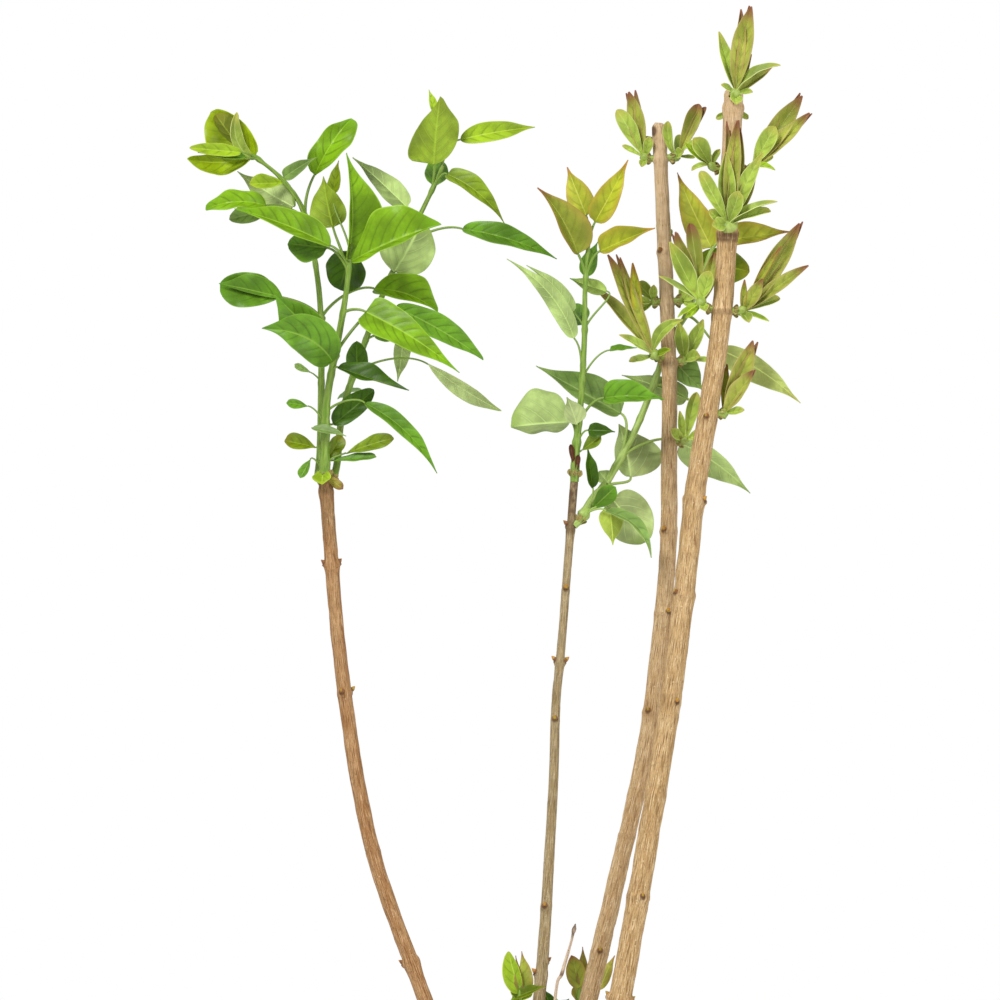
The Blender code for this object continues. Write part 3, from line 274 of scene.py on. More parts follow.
SHOOTS = {
    "foliage_left_front": dict(
        route=((-113, 6, 436.6), (-112.5, 3, 455), (-111.5, 0, 480), (-104.5, -5, 517), (-101, -8, 538),
               (-98, -10, 564)),
        radii=(2.6, 2.3, 2.1, 1.8, 1.5, 1.0),
        leaves=(
            leaf(0.71, (12.7, -5, 0.8), (52.3, -14, -32.5), 26, turn=25, fold=14, bow=4, tint="vivid", left=(0.8, 0.2, 1.25), right=(1.1, 0.25, 0.95), ripple=0.06),
            leaf(0.53, (-1, -7, -3.4), (-39.6, -12, 16.5), 28, turn=-5, fold=14, bow=8, tint="mid", sway=7, left=(0.75, 0.5, 1.1), right=(1.05, 0.7, 0.85), ripple=0.08),
            leaf(0.93, (1.1, -5, 0.2), (49, -12, 20.4), 28, turn=35, fold=28, bow=2, tint="vivid", left=(1.3, 1.1, 0.85), right=(0.62, 0.4, 1.0), ripple=0.14),
            leaf(0.98, (-1.8, -2, -5.9), (-3.3, -4, 58.3), 24, fold=32, sway=5, tint="vivid", turn=40, left=(0.45, 0.4, 0.9), right=(1.4, 0.65, 1.35)),
            leaf(0.86, (-8.3, 6, 28.1), (-6.6, 4, 27.5), 21, turn=180, fold=10, tint="olive"),
            leaf(0.95, (-9.6, 12, 34.4), (2.2, 6, 18.7), 8.5, turn=20, fold=25, kind="heart", tint="moss"),
            leaf(0.90, (-10, -4, 12.3), (-52.8, -10, 19.8), 20, turn=40, fold=28, bow=3, kind="lance", tint="vivid"),
            leaf(0.88, (-11.9, 2, 13.9), (-21.5, 2, 2.8), 22, turn=25, fold=20, tint="mid", kind="round", left=(1.35, 0.5, 0.6), right=(0.7, 0.5, 0.6)),
            leaf(0.90, (1.6, 5, 9), (-7.7, 14, -20.4), 24, turn=10, fold=10, tint="dark", kind="round"),
            leaf(0.535, (32.9, 5, 26.2), (49, 2, -28.6), 20, turn=25, fold=15, bow=4, kind="heart", tint="mid", left=(0.85, 0.5, 0.6), right=(0.75, 0.5, 0.95)),
            leaf(0.45, (3.8, -4, 4.1), (38.5, -9, -13.8), 14, turn=35, fold=25, kind="lance", tint="dark", ripple=0.2, twist=25),
            leaf(0.24, (4.1, 4, 0.2), (23.1, 3, 18.2), 14, turn=15, kind="round", tint="dark"),
            leaf(0.29, (21.5, -5, 5.2), (41.8, -9, -36.9), 12, turn=35, fold=25, bow=6, kind="lance", tint="mid"),
            leaf(0.225, (-9.7, -3, 12.1), (-11.6, -4, 2.2), 6, turn=20, kind="spoon", tint="mid"),
            leaf(0.20, (-7.5, -4, 3.3), (19.2, -5, -3.3), 6, turn=40, kind="lance", tint="grey"),
            leaf(0.10, (-5, 0, 5.9), (-17.1, -4, 3.9), 10, turn=20, kind="spoon", tint="moss"),
            leaf(0.07, (11.6, -2, 6.6), (25.9, -6, 9.4), 10, turn=30, kind="spoon", tint="olive"),
            leaf(0.05, (2.9, 0, 5.3), (25.3, -8, 1.7), 7, turn=50, kind="spoon", tint="mid"),
            leaf(0.08, NONE, (9, 4, 15), 9, kind="spoon", tint="moss"),
            leaf(0.03, (-0.9, 0, 3), (-0.6, -9, -8.2), 11, turn=10, kind="spoon", tint="lemon"),
            leaf(0.03, (-8, 0, 8.5), (-5, -4, -10.5), 6, turn=20, kind="spoon", tint="mid"),
            leaf(0.03, NONE, (10, -4, -8), 6, turn=20, kind="spoon", tint="umber"),
            leaf(0.53, (-3.8, -5, 5.4), (-28.6, -9, 27), 25, turn=-5, fold=12, bow=3, tint="mid", left=(1, 0.6, 0.7), right=(0.8, 0.5, 0.7)),
        ),
    ),
    "foliage_left_back": dict(
        seat=("stem_left", 429, 120, 45),
        route=((-115.5, 17, 452), (-115, 19, 490), (-115, 19, 516.5), (-117, 18, 545), (-123.8, 17, 580),
               (-136, 15, 599.5), (-153, 13, 614)),
        radii=(2.2, 2.1, 1.8, 1.7, 1.5, 1.4, 1.2, 0.9),
        leaves=(
            leaf(0.48, (-21.7, -4, 11.6), (-33.6, -6, 6.1), 22, turn=12, fold=15, tint="mid", kind="round", left=(1.15, 1.0, 0.4), right=(0.9, 0.7, 0.6), ripple=0.16),
            leaf(0.48, (29.5, -4, 16.5), (35.8, -3, -11), 19, turn=30, fold=30, bow=5, tint="vivid", left=(1.2, 0.8, 0.7)),
            leaf(0.30, (-6, 1, 6), (-9, 1, 4), 4, kind="spoon", tint="grey"),
            leaf(0.76, (-22, -1, 7.5), (-33.6, 0, -3.3), 13, turn=30, fold=20, bow=7, tint="vivid", kind="round", ripple=0.2),
            leaf(0.77, (5.1, 3, 22.6), (18.2, 5, 32.5), 21, turn=10, fold=28, bow=4, tint="vivid", kind="round", ripple=0.25, left=(0.9, 0.5, 0.9), right=(1.0, 0.9, 0.5)),
            leaf(0.87, (-2, 0, 4.1), (17.6, -4, 12.1), 9, turn=20, fold=22, tint="grey"),
            leaf(0.88, NONE, (-19, -9, -1), 10, turn=20, fold=28, kind="spoon", tint="lemon"),
            leaf(0.84, (-0.1, 0, -7.2), (-31.9, 9, 17.6), 18, turn=170, fold=10, tint="ash"),
            leaf(0.99, NONE, (-22.5, 3, 26), 30, turn=-8, fold=4, kind="round", tint="cup", roll=0.8, hook=-15, ripple=0.16, left=(1.0, 0.8, 0.42), right=(0.66, 0.4, 0.4)),
            leaf(0.98, (-4.6, 0, 0.1), (-33.6, -6, -1.1), 22, turn=10, fold=6, bow=-8, tint="cup", kind="round", hook=0, left=(1.0, 0.5, 0.55), right=(0.4, 0.5, 0.5), ripple=0.12, sway=0, roll=1.0),
            leaf(0.48, (-3, 10, 0), (-2.8, 36, -11), 16, fold=12, tint="mid"),
            leaf(0.63, (0, 9, 0), (1.7, 27, -8.8), 15, fold=2, tint="mid", sway=3, turn=90, roll=0.1, ripple=0.04, curl=0.03),
            leaf(0.79, (0, 8, 0), (-3.2, 26, 5.1), 19, fold=2, tint="mid", sway=-2, turn=90, roll=0.1, ripple=0.04, curl=0.03),
            leaf(0.90, (0, 5, 0), (3, 20, -2.6), 12, fold=2, tint="mid", turn=90, roll=0.1, ripple=0.04, curl=0.03),
            leaf(0.98, (-9, 0, 4.5), (-13.8, -5, 19.8), 14, roll=0.9, turn=165, fold=8, kind="round", tint="moss", left=(1.1, 0.6, 0.5), right=(0.9, 0.7, 0.4)),
            leaf(0.98, (-4.1, -1, 0.1), (-8.2, -6, 24.8), 8, roll=0.9, turn=15, fold=6, kind="round", tint="light", sway=-4),
            leaf(0.97, (-10.6, -8, 4.6), (-28.1, -8, 2.2), 8, roll=0.7, turn=15, fold=14, kind="round", tint="lemon"),
            leaf(0.97, (-7.8, -6, 1.9), (-26.4, -7, 2.8), 6, roll=0.7, turn=30, fold=14, kind="lance", tint="mid"),
            leaf(0.48, (-21.1, -6, 11.6), (-34.7, -8, 7.7), 18, turn=8, fold=8, left=(0.2, 0.5, 0.8), right=(1.05, 0.8, 0.95), tint="mid"),
            leaf(0.76, (-23.6, 3, 4.2), (-19.2, 2, -3.3), 11, turn=10, fold=8, kind="round", tint="grey"),
        ),
    ),
    "foliage_left_inner": dict(
        seat=("stem_left", 429, 45, 45),
        route=((-106, 16, 446), (-104.5, 19, 464), (-101.3, 22, 480), (-94.5, 25, 500.5), (-82, 28, 535),
               (-68.8, 29, 564), (-54.5, 29, 593.5), (-48, 29, 608)),
        radii=(2.1, 2.0, 1.9, 1.8, 1.7, 1.6, 1.5, 1.2, 1.0),
        leaves=(
            leaf(0.92, (1.5, -2, 14.8), (1.7, -3, 37.4), 27, turn=180, fold=8, tint="olive", left=(0.95, 0.6, 0.6), right=(1.15, 0.2, 1.1), sway=0),
            leaf(0.93, (14.9, 6, 26.8), (41.8, 6, 5.5), 13, turn=20, fold=20, bow=4, kind="lance", tint="lemon"),
            leaf(0.92, (8.6, -5, 9.3), (32.5, -6, -26.4), 15, turn=35, fold=28, bow=5, tint="olive"),
            leaf(0.74, (31.9, -5, 10.1), (52.3, -8, -16.5), 16, turn=35, fold=25, bow=4, kind="lance", tint="mid"),
            leaf(0.78, (-1.7, 3, 15.3), (-29.2, 4, 28.6), 15, turn=160, fold=25, tint="pale"),
            leaf(0.65, (1.8, -6, 2), (16.5, -6, 26.4), 32, turn=180, fold=8, tint="pale", kind="round"),
            leaf(0.345, (41, 2, 5.3), (39.6, -2, -27), 9.5, turn=190, bow=4, kind="lance", tint="ash", left=(1, 0.9, 0.8), right=(1, 0.9, 0.8)),
            leaf(0.45, (20.7, 4, 0.7), (-2.8, 2, -23.7), 10, turn=180, kind="heart", tint="pale"),
            leaf(0.33, (2.9, -4, 2.5), (-0.6, -3, 18.2), 13, turn=10, tint="dark", kind="round"),
            leaf(0.30, (0, 9, 0), (0.8, 34, -2.1), 15, fold=12, tint="mid"),
            leaf(0.50, (0, 8, 0), (18.6, 28, -6.6), 17, fold=12, tint="mid"),
            leaf(0.62, (0, 9, 0), (-4.4, 30, -10.1), 22, fold=2, tint="mid", sway=4, turn=90, roll=0.1, ripple=0.04, curl=0.03),
            leaf(0.78, (0, 8, 0), (4.4, 30, -4.5), 14, fold=12, tint="mid"),
            leaf(0.94, (0, 6, 0), (0.9, 26, 18.5), 14, fold=15, tint="mid"),
            leaf(0.99, (-3, 6, 30), (-4, 2, 14), 5, turn=20, fold=10, kind="lance", tint="lemon"),
        ),
    ),
    "foliage_centre_top": dict(
        route=((24.6, 3, 436.6), (25.3, 3, 451), (28, 2, 478.5), (30, 1, 513.7), (30.3, 0, 539.6),
               (32, 0, 562)),
        radii=(2.4, 2.1, 1.7, 1.5, 1.3, 1.0),
        leaves=(
            leaf(0.87, (-4.2, -2, 13.5), (-20.4, -8, 37.4), 24, turn=30, fold=38, sway=2, tint="bronze"),
            leaf(0.98, (-1, 2, 20.8), (-10.5, 3, 26.4), 16, fold=22, tint="amber"),
            leaf(0.98, (4, -2, 17), (18.7, -4, 33.6), 16, turn=10, fold=26, tint="gold"),
            leaf(0.87, (7.9, -3, 15.1), (29.7, -5, 13.8), 18, turn=35, fold=35, tint="gold"),
            leaf(0.65, (12.3, 4, 21.4), (-20.4, 7, 6.6), 9, turn=160, kind="lance", tint="mid"),
            leaf(0.43, (-4.5, -2, 23.8), (-38, -6, 42.4), 11, turn=180, fold=12, tint="pale", sway=-6),
            leaf(0.65, (-6.4, 3, 9.9), (-25.9, 8, 25.3), 8, turn=170, tint="pale", sway=-3),
            leaf(0.44, (15.2, 2, 16), (14.9, 3, 1.7), 7, turn=60, tint="mid"),
            leaf(0.25, (13.9, -4, 13.9), (33, -5, -2.2), 18, turn=30, fold=28, bow=4, tint="mid"),
            leaf(0.17, (-4.3, 3, 11.5), (-31.9, 2, -2.2), 38, turn=140, fold=32, tint="pale", kind="round"),
            leaf(0.17, (0.1, -4, 9.9), (-5, -6, 14.9), 14, turn=170, fold=25, tint="grey"),
            leaf(0.15, (6.4, -3, 9.1), (14.9, -3, 0), 9, turn=20, tint="dark"),
            leaf(0.11, (3.5, 0, 3.2), (10.5, -5, 7.7), 8, turn=10, kind="spoon", tint="olive"),
            leaf(0.07, (-0.9, -2.0, 0.5), (-1.2, -0.8, 11), 3.2, kind="spoon", tint="rust", roll=0.9),
            leaf(0.04, (0.9, -2.2, 0.5), (1.2, -0.4, 9), 3.2, kind="spoon", tint="rust", roll=0.9),
            leaf(0.28, (0, 9, 0), (-0.8, 29, -12), 20, fold=2, tint="mid", sway=3, turn=90, roll=0.1, ripple=0.04, curl=0.03),
            leaf(0.50, (0, 7, 0), (0.5, 30, 7), 17, fold=2, tint="mid", sway=-2, turn=90, roll=0.1, ripple=0.04, curl=0.03),
            leaf(0.68, (-0, 8, 0), (-9.8, 28, 11), 14, fold=12, tint="mid"),
            leaf(0.88, (-0, 6, 0), (5.6, 22, 19.9), 10, fold=15, tint="mid"),
        ),
    ),
    "foliage_centre_side": dict(
        seat=("stem_centre", 408, 15, 45),
        route=((34, 9, 423.5), (41.3, 13, 431.8), (51.2, 20, 449), (59, 26, 464), (69, 33, 489),
               (76, 35, 509), (88, 34, 529), (100, 32, 561)),
        radii=(2.3, 2.2, 2.1, 2.0, 1.9, 1.8, 1.6, 1.4, 1.0),
        leaves=(
            leaf(0.05, (4.5, 0, 2.9), (12.7, -9, 12.1), 11, fold=12, kind="spoon", tint="mid"),
            leaf(0.13, (6.6, 0, 5.6), (-5.5, 7, 6.6), 9, turn=180, kind="spoon", tint="pale"),
            leaf(0.16, (15.3, 7, 5.8), (-5.5, 9, 29.2), 24, turn=185, fold=20, tint="ash", kind="heart", left=(1.9, 0.6, 0.9), right=(0.55, 0.6, 1)),
            leaf(0.06, (14.7, 2, 6.9), (19.8, 4, -23.1), 28, turn=185, fold=12, bow=4, tint="ash", kind="round"),
            leaf(0.05, (14.4, -3, 3.5), (2.2, 0, -20.4), 14, turn=180, fold=10, tint="lemon"),
            leaf(0.045, (12.6, -6, 2.6), (25.9, -7, -24.8), 9, turn=40, bow=3, fold=30, kind="lance", tint="grey", sway=-5),
            leaf(0.04, (5.8, -3, 15.9), (-3.3, -1, 22), 9, turn=30, fold=30, kind="lance", tint="dark"),
            leaf(0.27, (0.5, 2, 25.3), (-46.8, -2, 25.9), 24, turn=40, fold=18, tint="grey"),
            leaf(0.54, (18.6, 3, -8.2), (-35.2, 3, 15.4), 14, turn=185, tint="pale"),
            leaf(0.28, (32.1, 12, 7.4), (39.1, 2, -28.1), 19, turn=200, bow=6, tint="pale", sway=5),
            leaf(0.64, (7.6, -3, -5.5), (13.8, -3, -14.9), 17, turn=20, tint="grey"),
            leaf(0.78, (19.6, -6, -19.1), (42.9, -5, -30.3), 16, turn=190, bow=4, tint="light", sway=4),
            leaf(0.90, (-2.2, 0, 9.9), (29.7, 2, -3.3), 21, turn=5, fold=10, tint="moss", kind="round"),
            leaf(0.90, NONE, (-11, 2, 13), 9, turn=10, tint="straw"),
            leaf(0.99, (0.7, 0, 3.8), (-20.4, -4, 40.2), 18, fold=14, tint="amber"),
            leaf(0.98, (6.8, -2, 8.8), (38.5, -4, 5.5), 17, turn=30, fold=28, tint="amber"),
            leaf(0.24, (0, 6, 0), (-4.5, 28, -7.7), 18, fold=2, tint="mid", sway=3, turn=90, roll=0.1, ripple=0.04, curl=0.03),
            leaf(0.42, (0, 9, 0), (1.9, 29, 4.7), 22, fold=2, tint="mid", sway=2, turn=90, roll=0.1, ripple=0.04, curl=0.03),
            leaf(0.62, (0, 7, 0), (-2.7, 23, -5.3), 15, fold=2, tint="mid", sway=-2, turn=90, roll=0.1, ripple=0.04, curl=0.03),
            leaf(0.82, (0, 8, 0), (2.8, 26, 7.5), 18, fold=2, tint="mid", sway=-3, turn=90, roll=0.1, ripple=0.04, curl=0.03),
            leaf(0.97, (0, 6, 0), (-1.8, 18, -4.7), 11, fold=2, tint="mid", turn=90, roll=0.1, ripple=0.04, curl=0.03),
        ),
    ),
    "basal_shoot_left": dict(
        route=((-2, -10, 26.6), (-5, -11, 80), (-6, -11, 130), (-5.5, -10, 158)),
        radii=(1.5, 1.4, 1.2, 0.9),
        leaves=(
            leaf(0.96, NONE, (-6.5, -3, 22.8), 13, turn=10, fold=10, tint="lemon", kind="round", left=(1.35, 0.5, 0.6), right=(0.5, 0.5, 0.6), roll=0.8),
            leaf(0.96, NONE, (2.3, 4, 22.8), 12, fold=10, tint="bronze", right=(1.2, 0.45, 1.2), left=(0.3, 0.5, 1)),
            leaf(0.95, NONE, (-1.5, -1, 22), 5, fold=20, tint="umber"),
            leaf(0.93, (-4.2, 0, 1), (18.2, -5, 7.7), 8, turn=40, fold=20, tint="moss", kind="lance"),
            leaf(0.93, NONE, (-7, -7, -2), 5, turn=40, tint="olive"),
            leaf(0.93, NONE, (1, 13, 12), 13, fold=15, tint="lemon"),
            leaf(0.62, (-3, -2, 3), (-14, -4, 6), 9, turn=30, tint="lemon"),
            leaf(0.62, (3, 2, 3), (9, 4, 6), 7, turn=30, tint="mid"),
            leaf(0.34, (-1, -3, 3), (-2, -12, 5), 7, turn=10, tint="lemon"),
        ),
    ),
    "basal_shoot_back": dict(
        route=((-4, 27, 24.6), (4, 29, 80), (11, 30, 125), (14, 30, 145)),
        radii=(1.4, 1.2, 1.1, 0.9),
        leaves=(
            leaf(0.97, NONE, (-7, -2, 13), 8, turn=10, fold=20, tint="dark"),
            leaf(0.97, NONE, (8, 2, 7), 6, turn=30, fold=20, tint="dark"),
            leaf(0.95, NONE, (2, 12, 10), 10, fold=15, tint="mid"),
            leaf(0.60, (-2, 2, 2), (-10, 5, 5), 7, turn=20, tint="mid"),
            leaf(0.60, (2, 2, 2), (4, 12, 5), 7, turn=20, tint="mid"),
            leaf(0.30, (-1, 3, 2), (-4, 12, 5), 6, turn=20, tint="mid"),
        ),
    ),
    "basal_shoot_right": dict(
        route=((17, 30, 22.6), (24, 36, 80), (27, 37, 130), (27, 37, 153)),
        radii=(1.5, 1.3, 1.2, 0.9),
        leaves=(
            leaf(0.97, (-0.1, 0, 4.5), (-2.8, -2, 18.7), 12, turn=10, fold=18, tint="bronze", kind="round", left=(1, 0.6, 0.7), right=(1, 0.6, 0.7)),
            leaf(0.97, (2.1, 0, 6.1), (0.6, 1, 21.5), 7, fold=20, tint="umber"),
            leaf(0.96, (11.4, 0, 5.3), (7.7, 0, 19.2), 7, turn=10, fold=20, tint="straw", kind="lance"),
            leaf(0.95, NONE, (4, 14, 12), 12, fold=15, tint="bronze"),
            leaf(0.62, (2, 2, 3), (11, 5, 5), 8, turn=30, tint="olive"),
            leaf(0.62, (-2, 2, 3), (-6, 12, 4), 8, turn=30, tint="olive"),
            leaf(0.32, (1, 3, 3), (6, 11, 5), 7, turn=20, tint="mid"),
        ),
    ),
}


CLUSTERS = {
    "cluster_back_top_left": dict(
        seat=("stem_right_back", 612, 185), reach=5, rise=2,
        leaves=(
            leaf(0.8, NONE, (-13.7, -3, 26.3), 10, turn=5, fold=8, kind="spoon", tint="light", roll=0.8),
            leaf(0.9, NONE, (-5.2, 4, 35.9), 11, fold=20, tint="plum", kind="bud", roll=0.9),
            leaf(0.7, NONE, (3, -5, 11), 6, kind="spoon", tint="light", roll=0.8),
            leaf(0.9, NONE, (-10.7, -2, 6.2), 3.5, turn=20, kind="spoon", tint="light", roll=0.8),
            leaf(0.7, NONE, (2, 7, 12), 7, kind="spoon", tint="light", roll=0.8),
            leaf(0.7, NONE, (-2, -5, -5), 5, turn=10, kind="spoon", tint="light", roll=0.8),
        )),
    "cluster_back_top_right": dict(
        seat=("stem_right_back", 612, 0), reach=5, rise=1,
        leaves=(
            leaf(0.7, NONE, (-3.2, -3, 19.7), 6, bow=0, sway=-2, kind="spoon", tint="light", roll=0.8),
            leaf(0.9, NONE, (12.8, 1, 28), 10, turn=10, fold=20, kind="spoon", tint="plum", roll=0.8),
            leaf(0.9, NONE, (15, -4, 7.7), 5, turn=50, bow=3, kind="spoon", tint="light", roll=0.8),
            leaf(0.7, NONE, (4, -6, 3), 7, turn=30, kind="spoon", tint="light", roll=0.8),
            leaf(0.9, NONE, (9, -1, -1), 2.5, turn=20, kind="spoon", tint="light", roll=0.8),
            leaf(0.7, NONE, (4, 11, 12), 8, kind="spoon", tint="light", roll=0.8),
        )),
    "cluster_back_high": dict(
        seat=("stem_right_back", 561, 90), reach=4, rise=2,
        leaves=(
            leaf(0.9, NONE, (-1, 14, 16), 9, kind="spoon", tint="light", roll=0.8),
            leaf(0.9, NONE, (1, 16, 11), 8, kind="spoon", tint="light", roll=0.8),
            leaf(0.7, NONE, (1, 15, 3), 7, turn=30, kind="spoon", tint="light", roll=0.8),
        )),
    "cluster_back_middle_left": dict(
        seat=("stem_right_back", 533, 190), reach=3, rise=0,
        leaves=(
            leaf(0.7, NONE, (-9, 3, 11), 8, turn=10, kind="spoon", tint="light", roll=0.8),
            leaf(0.7, NONE, (-1, -5, 9), 5, kind="spoon", tint="light", roll=0.8),
            leaf(0.9, NONE, (-8, -5, 1), 5, turn=20, kind="spoon", tint="light", roll=0.8),
            leaf(0.7, NONE, (-10, -1, -5), 6, turn=10, kind="spoon", tint="light", roll=0.8),
        )),
    "cluster_back_middle_right": dict(
        seat=("stem_right_back", 533, 0), reach=3, rise=0,
        leaves=(
            leaf(0.9, NONE, (8, -3, 4), 6, turn=20, kind="spoon", tint="light", roll=0.8),
            leaf(0.8, NONE, (7, -3, -3), 4, turn=20, kind="spoon", tint="light", roll=0.8),
            leaf(0.7, NONE, (3, 9, 7), 6, kind="spoon", tint="light", roll=0.8),
        )),
    "cluster_back_low_left": dict(
        seat=("stem_right_back", 502, 215), reach=6, rise=3,
        leaves=(
            leaf(0.9, NONE, (-23.1, -2, 55.1), 11, turn=10, fold=25, tint="plum", kind="bud", roll=0.9),
            leaf(0.8, NONE, (-20, -5, 52.9), 6, fold=25, tint="plum", kind="bud", roll=0.9),
            leaf(0.9, NONE, (-30.8, 2, 37.5), 9.5, turn=30, fold=25, tint="plum", kind="bud", roll=0.9),
            leaf(0.8, (-7.3, 0, 13.3), (-5, -6, 36.9), 7, fold=20, tint="amber", kind="bud", roll=0.9),
            leaf(0.8, NONE, (-18.9, -8, 11.1), 7, turn=40, tint="light", kind="bud", roll=0.9),
            leaf(0.9, NONE, (15.4, -8, 19.4), 8, turn=20, sway=-4, tint="light", kind="bud", roll=0.9),
            leaf(0.7, NONE, (8, -9, 3), 5, turn=30, tint="lemon", kind="bud", roll=0.9),
            leaf(0.7, NONE, (-14, -5, -4), 5, turn=30, kind="spoon", tint="light", roll=0.8),
        )),
    "cluster_back_low_right": dict(
        seat=("stem_right_back", 500, 10), reach=4, rise=1,
        leaves=(
            leaf(0.8, NONE, (-2.1, -3, 20.7), 9, tint="light", kind="bud", roll=0.9),
            leaf(0.9, NONE, (11, 1, 21.5), 9, turn=10, tint="light", kind="bud", roll=0.9),
            leaf(0.7, NONE, (9, -7, 3), 8, turn=30, kind="spoon", tint="light", roll=0.8),
            leaf(0.9, NONE, (17, -3, -1), 5, turn=50, tint="light", kind="bud", roll=0.9),
            leaf(0.7, NONE, (3, 9, 8), 7, kind="spoon", tint="light", roll=0.8),
        )),
    "cluster_back_foot": dict(
        seat=("stem_right_back", 456, 335), reach=5, rise=1,
        leaves=(
            leaf(0.9, NONE, (4.1, -3, 26.4), 8, kind="spoon", tint="light", roll=0.8),
            leaf(0.7, NONE, (-2.1, -3, 16.3), 5, tint="light", kind="bud", roll=0.9),
            leaf(0.7, NONE, (-7.1, -6, 5.9), 6, turn=10, kind="spoon", tint="light", roll=0.8),
            leaf(0.9, NONE, (9, -1, 4), 6, turn=20, kind="spoon", tint="light", roll=0.8),
        )),
    "cluster_front_top": dict(
        seat=("stem_right_front", 645, 275), reach=5, rise=4,
        leaves=(
            leaf(0.9, NONE, (7, -2, 46.4), 14, fold=22, tint="plum", kind="bud", roll=0.9),
            leaf(0.85, NONE, (-10, -2, 32.5), 8, turn=15, fold=20, tint="light", kind="bud", roll=0.9),
            leaf(0.9, NONE, (24.1, -4, 15.1), 8, turn=55, bow=3, tint="light", kind="bud", roll=0.9),
            leaf(0.7, NONE, (20.9, 1, 14.3), 7, turn=25, tint="plum", kind="bud", roll=0.9),
            leaf(0.7, NONE, (8, 3, 22), 5, fold=20, tint="bronze", kind="bud", roll=0.9),
            leaf(0.7, NONE, (-7.7, -2, 5), 4, turn=30, kind="spoon", tint="light", roll=0.8),
            leaf(0.7, NONE, (9.3, -4, 1.1), 4, turn=30, kind="spoon", tint="light", roll=0.8),
            leaf(0.7, NONE, (0, -6, -6), 8, turn=10, kind="spoon", tint="light", roll=0.8),
        )),
    "cluster_front_crest": dict(
        seat=("stem_right_front", 637, 90), reach=4, rise=2,
        leaves=(
            leaf(0.8, NONE, (9, 2, -4), 4, turn=20, kind="spoon", tint="light", roll=0.8),
            leaf(0.8, NONE, (-9, 2, -5), 4, turn=20, kind="spoon", tint="light", roll=0.8),
            leaf(0.9, NONE, (-1, 16, 9), 9, kind="spoon", tint="light", roll=0.8),
            leaf(0.9, NONE, (1, 16, 6), 8, kind="spoon", tint="light", roll=0.8),
        )),
    "cluster_front_upper_left": dict(
        seat=("stem_right_front", 605, 180), reach=5, rise=3,
        leaves=(
            leaf(0.9, NONE, (-8.8, -4, 14.7), 11, turn=10, fold=25, kind="spoon", tint="light", roll=0.8),
            leaf(0.9, NONE, (-14.3, 0, 11.4), 6, turn=20, tint="lemon", kind="bud", roll=0.9),
            leaf(0.7, NONE, (4, -3, 9.4), 4, sway=-1, kind="spoon", tint="light", roll=0.8),
            leaf(0.8, NONE, (-11, -3, -3), 3.5, turn=30, bow=3, kind="spoon", tint="light", roll=0.8),
            leaf(0.7, NONE, (-3, 9, 6), 6, kind="spoon", tint="light", roll=0.8),
        )),
    "cluster_front_upper_right": dict(
        seat=("stem_right_front", 605, 0), reach=7, rise=3,
        leaves=(
            leaf(0.9, NONE, (26.1, 3, 39.3), 14, fold=22, tint="plum", kind="bud", roll=0.9),
            leaf(0.8, NONE, (12.8, -4, 22.2), 11, turn=5, kind="spoon", tint="light", roll=0.8),
            leaf(0.9, NONE, (31.6, -2, 28.3), 10, turn=20, fold=22, tint="plum", kind="bud", roll=0.9),
            leaf(0.7, NONE, (13.8, -5, -1), 5, turn=50, bow=2, tint="lemon", kind="bud", roll=0.9),
            leaf(0.8, NONE, (12, 6, 6), 4, turn=20, kind="spoon", tint="light", roll=0.8),
        )),
    "cluster_front_middle": dict(
        seat=("stem_right_front", 573, 270), reach=5, rise=3,
        leaves=(
            leaf(0.9, NONE, (4, -3, 56.5), 11, fold=25, tint="plum", kind="bud", roll=0.9),
            leaf(0.8, NONE, (9, -2, 52.7), 9, fold=20, tint="plum", kind="bud", roll=0.9),
            leaf(0.8, NONE, (-0.4, -1, 51.6), 7, fold=20, tint="amber", kind="bud", roll=0.9),
            leaf(0.7, NONE, (-2, -6, 40.1), 11, fold=12, tint="light", kind="bud", roll=0.9),
            leaf(0.7, NONE, (16.7, -6, 40.7), 10, turn=5, fold=12, tint="light", kind="bud", roll=0.9),
            leaf(0.8, NONE, (-16.3, -6, 28.5), 9, turn=10, bow=3, kind="spoon", tint="light", roll=0.8),
            leaf(0.9, NONE, (6.8, -8, 16.9), 10, turn=10, kind="spoon", tint="light", roll=0.8),
            leaf(0.7, NONE, (16.1, 3, 28.6), 9, tint="plum", kind="bud", roll=0.9),
            leaf(0.9, NONE, (27.1, -7, 10.9), 6, turn=50, bow=3, tint="light", kind="bud", roll=0.9),
            leaf(0.7, NONE, (23.3, -5, 8.2), 7, turn=40, bow=2, kind="spoon", tint="light", roll=0.8),
            leaf(0.7, NONE, (-10.8, -6, 7.7), 7, turn=20, kind="spoon", tint="light", roll=0.8),
            leaf(0.8, NONE, (-8.6, -8, -0.6), 9, turn=10, kind="spoon", tint="light", roll=0.8),
        )),
    "cluster_front_middle_rear": dict(
        seat=("stem_right_front", 571, 90), reach=4, rise=2,
        leaves=(
            leaf(0.9, NONE, (-2, 14, 16), 9, kind="spoon", tint="plum", roll=0.8),
            leaf(0.9, NONE, (2, 14, 14), 9, kind="spoon", tint="plum", roll=0.8),
            leaf(0.7, NONE, (0, 14, 6), 7, turn=20, kind="spoon", tint="light", roll=0.8),
        )),
    "cluster_front_lower_left": dict(
        seat=("stem_right_front", 528, 185), reach=6, rise=5,
        leaves=(
            leaf(0.9, NONE, (-17, -4, 31.5), 12, turn=5, fold=22, tint="light", kind="bud", roll=0.9),
            leaf(0.9, NONE, (-13.2, 1, 37.5), 10, fold=20, tint="plum", kind="bud", roll=0.9),
            leaf(0.8, NONE, (-4.7, 4, 43.4), 9, fold=15, kind="spoon", tint="plum", roll=0.8),
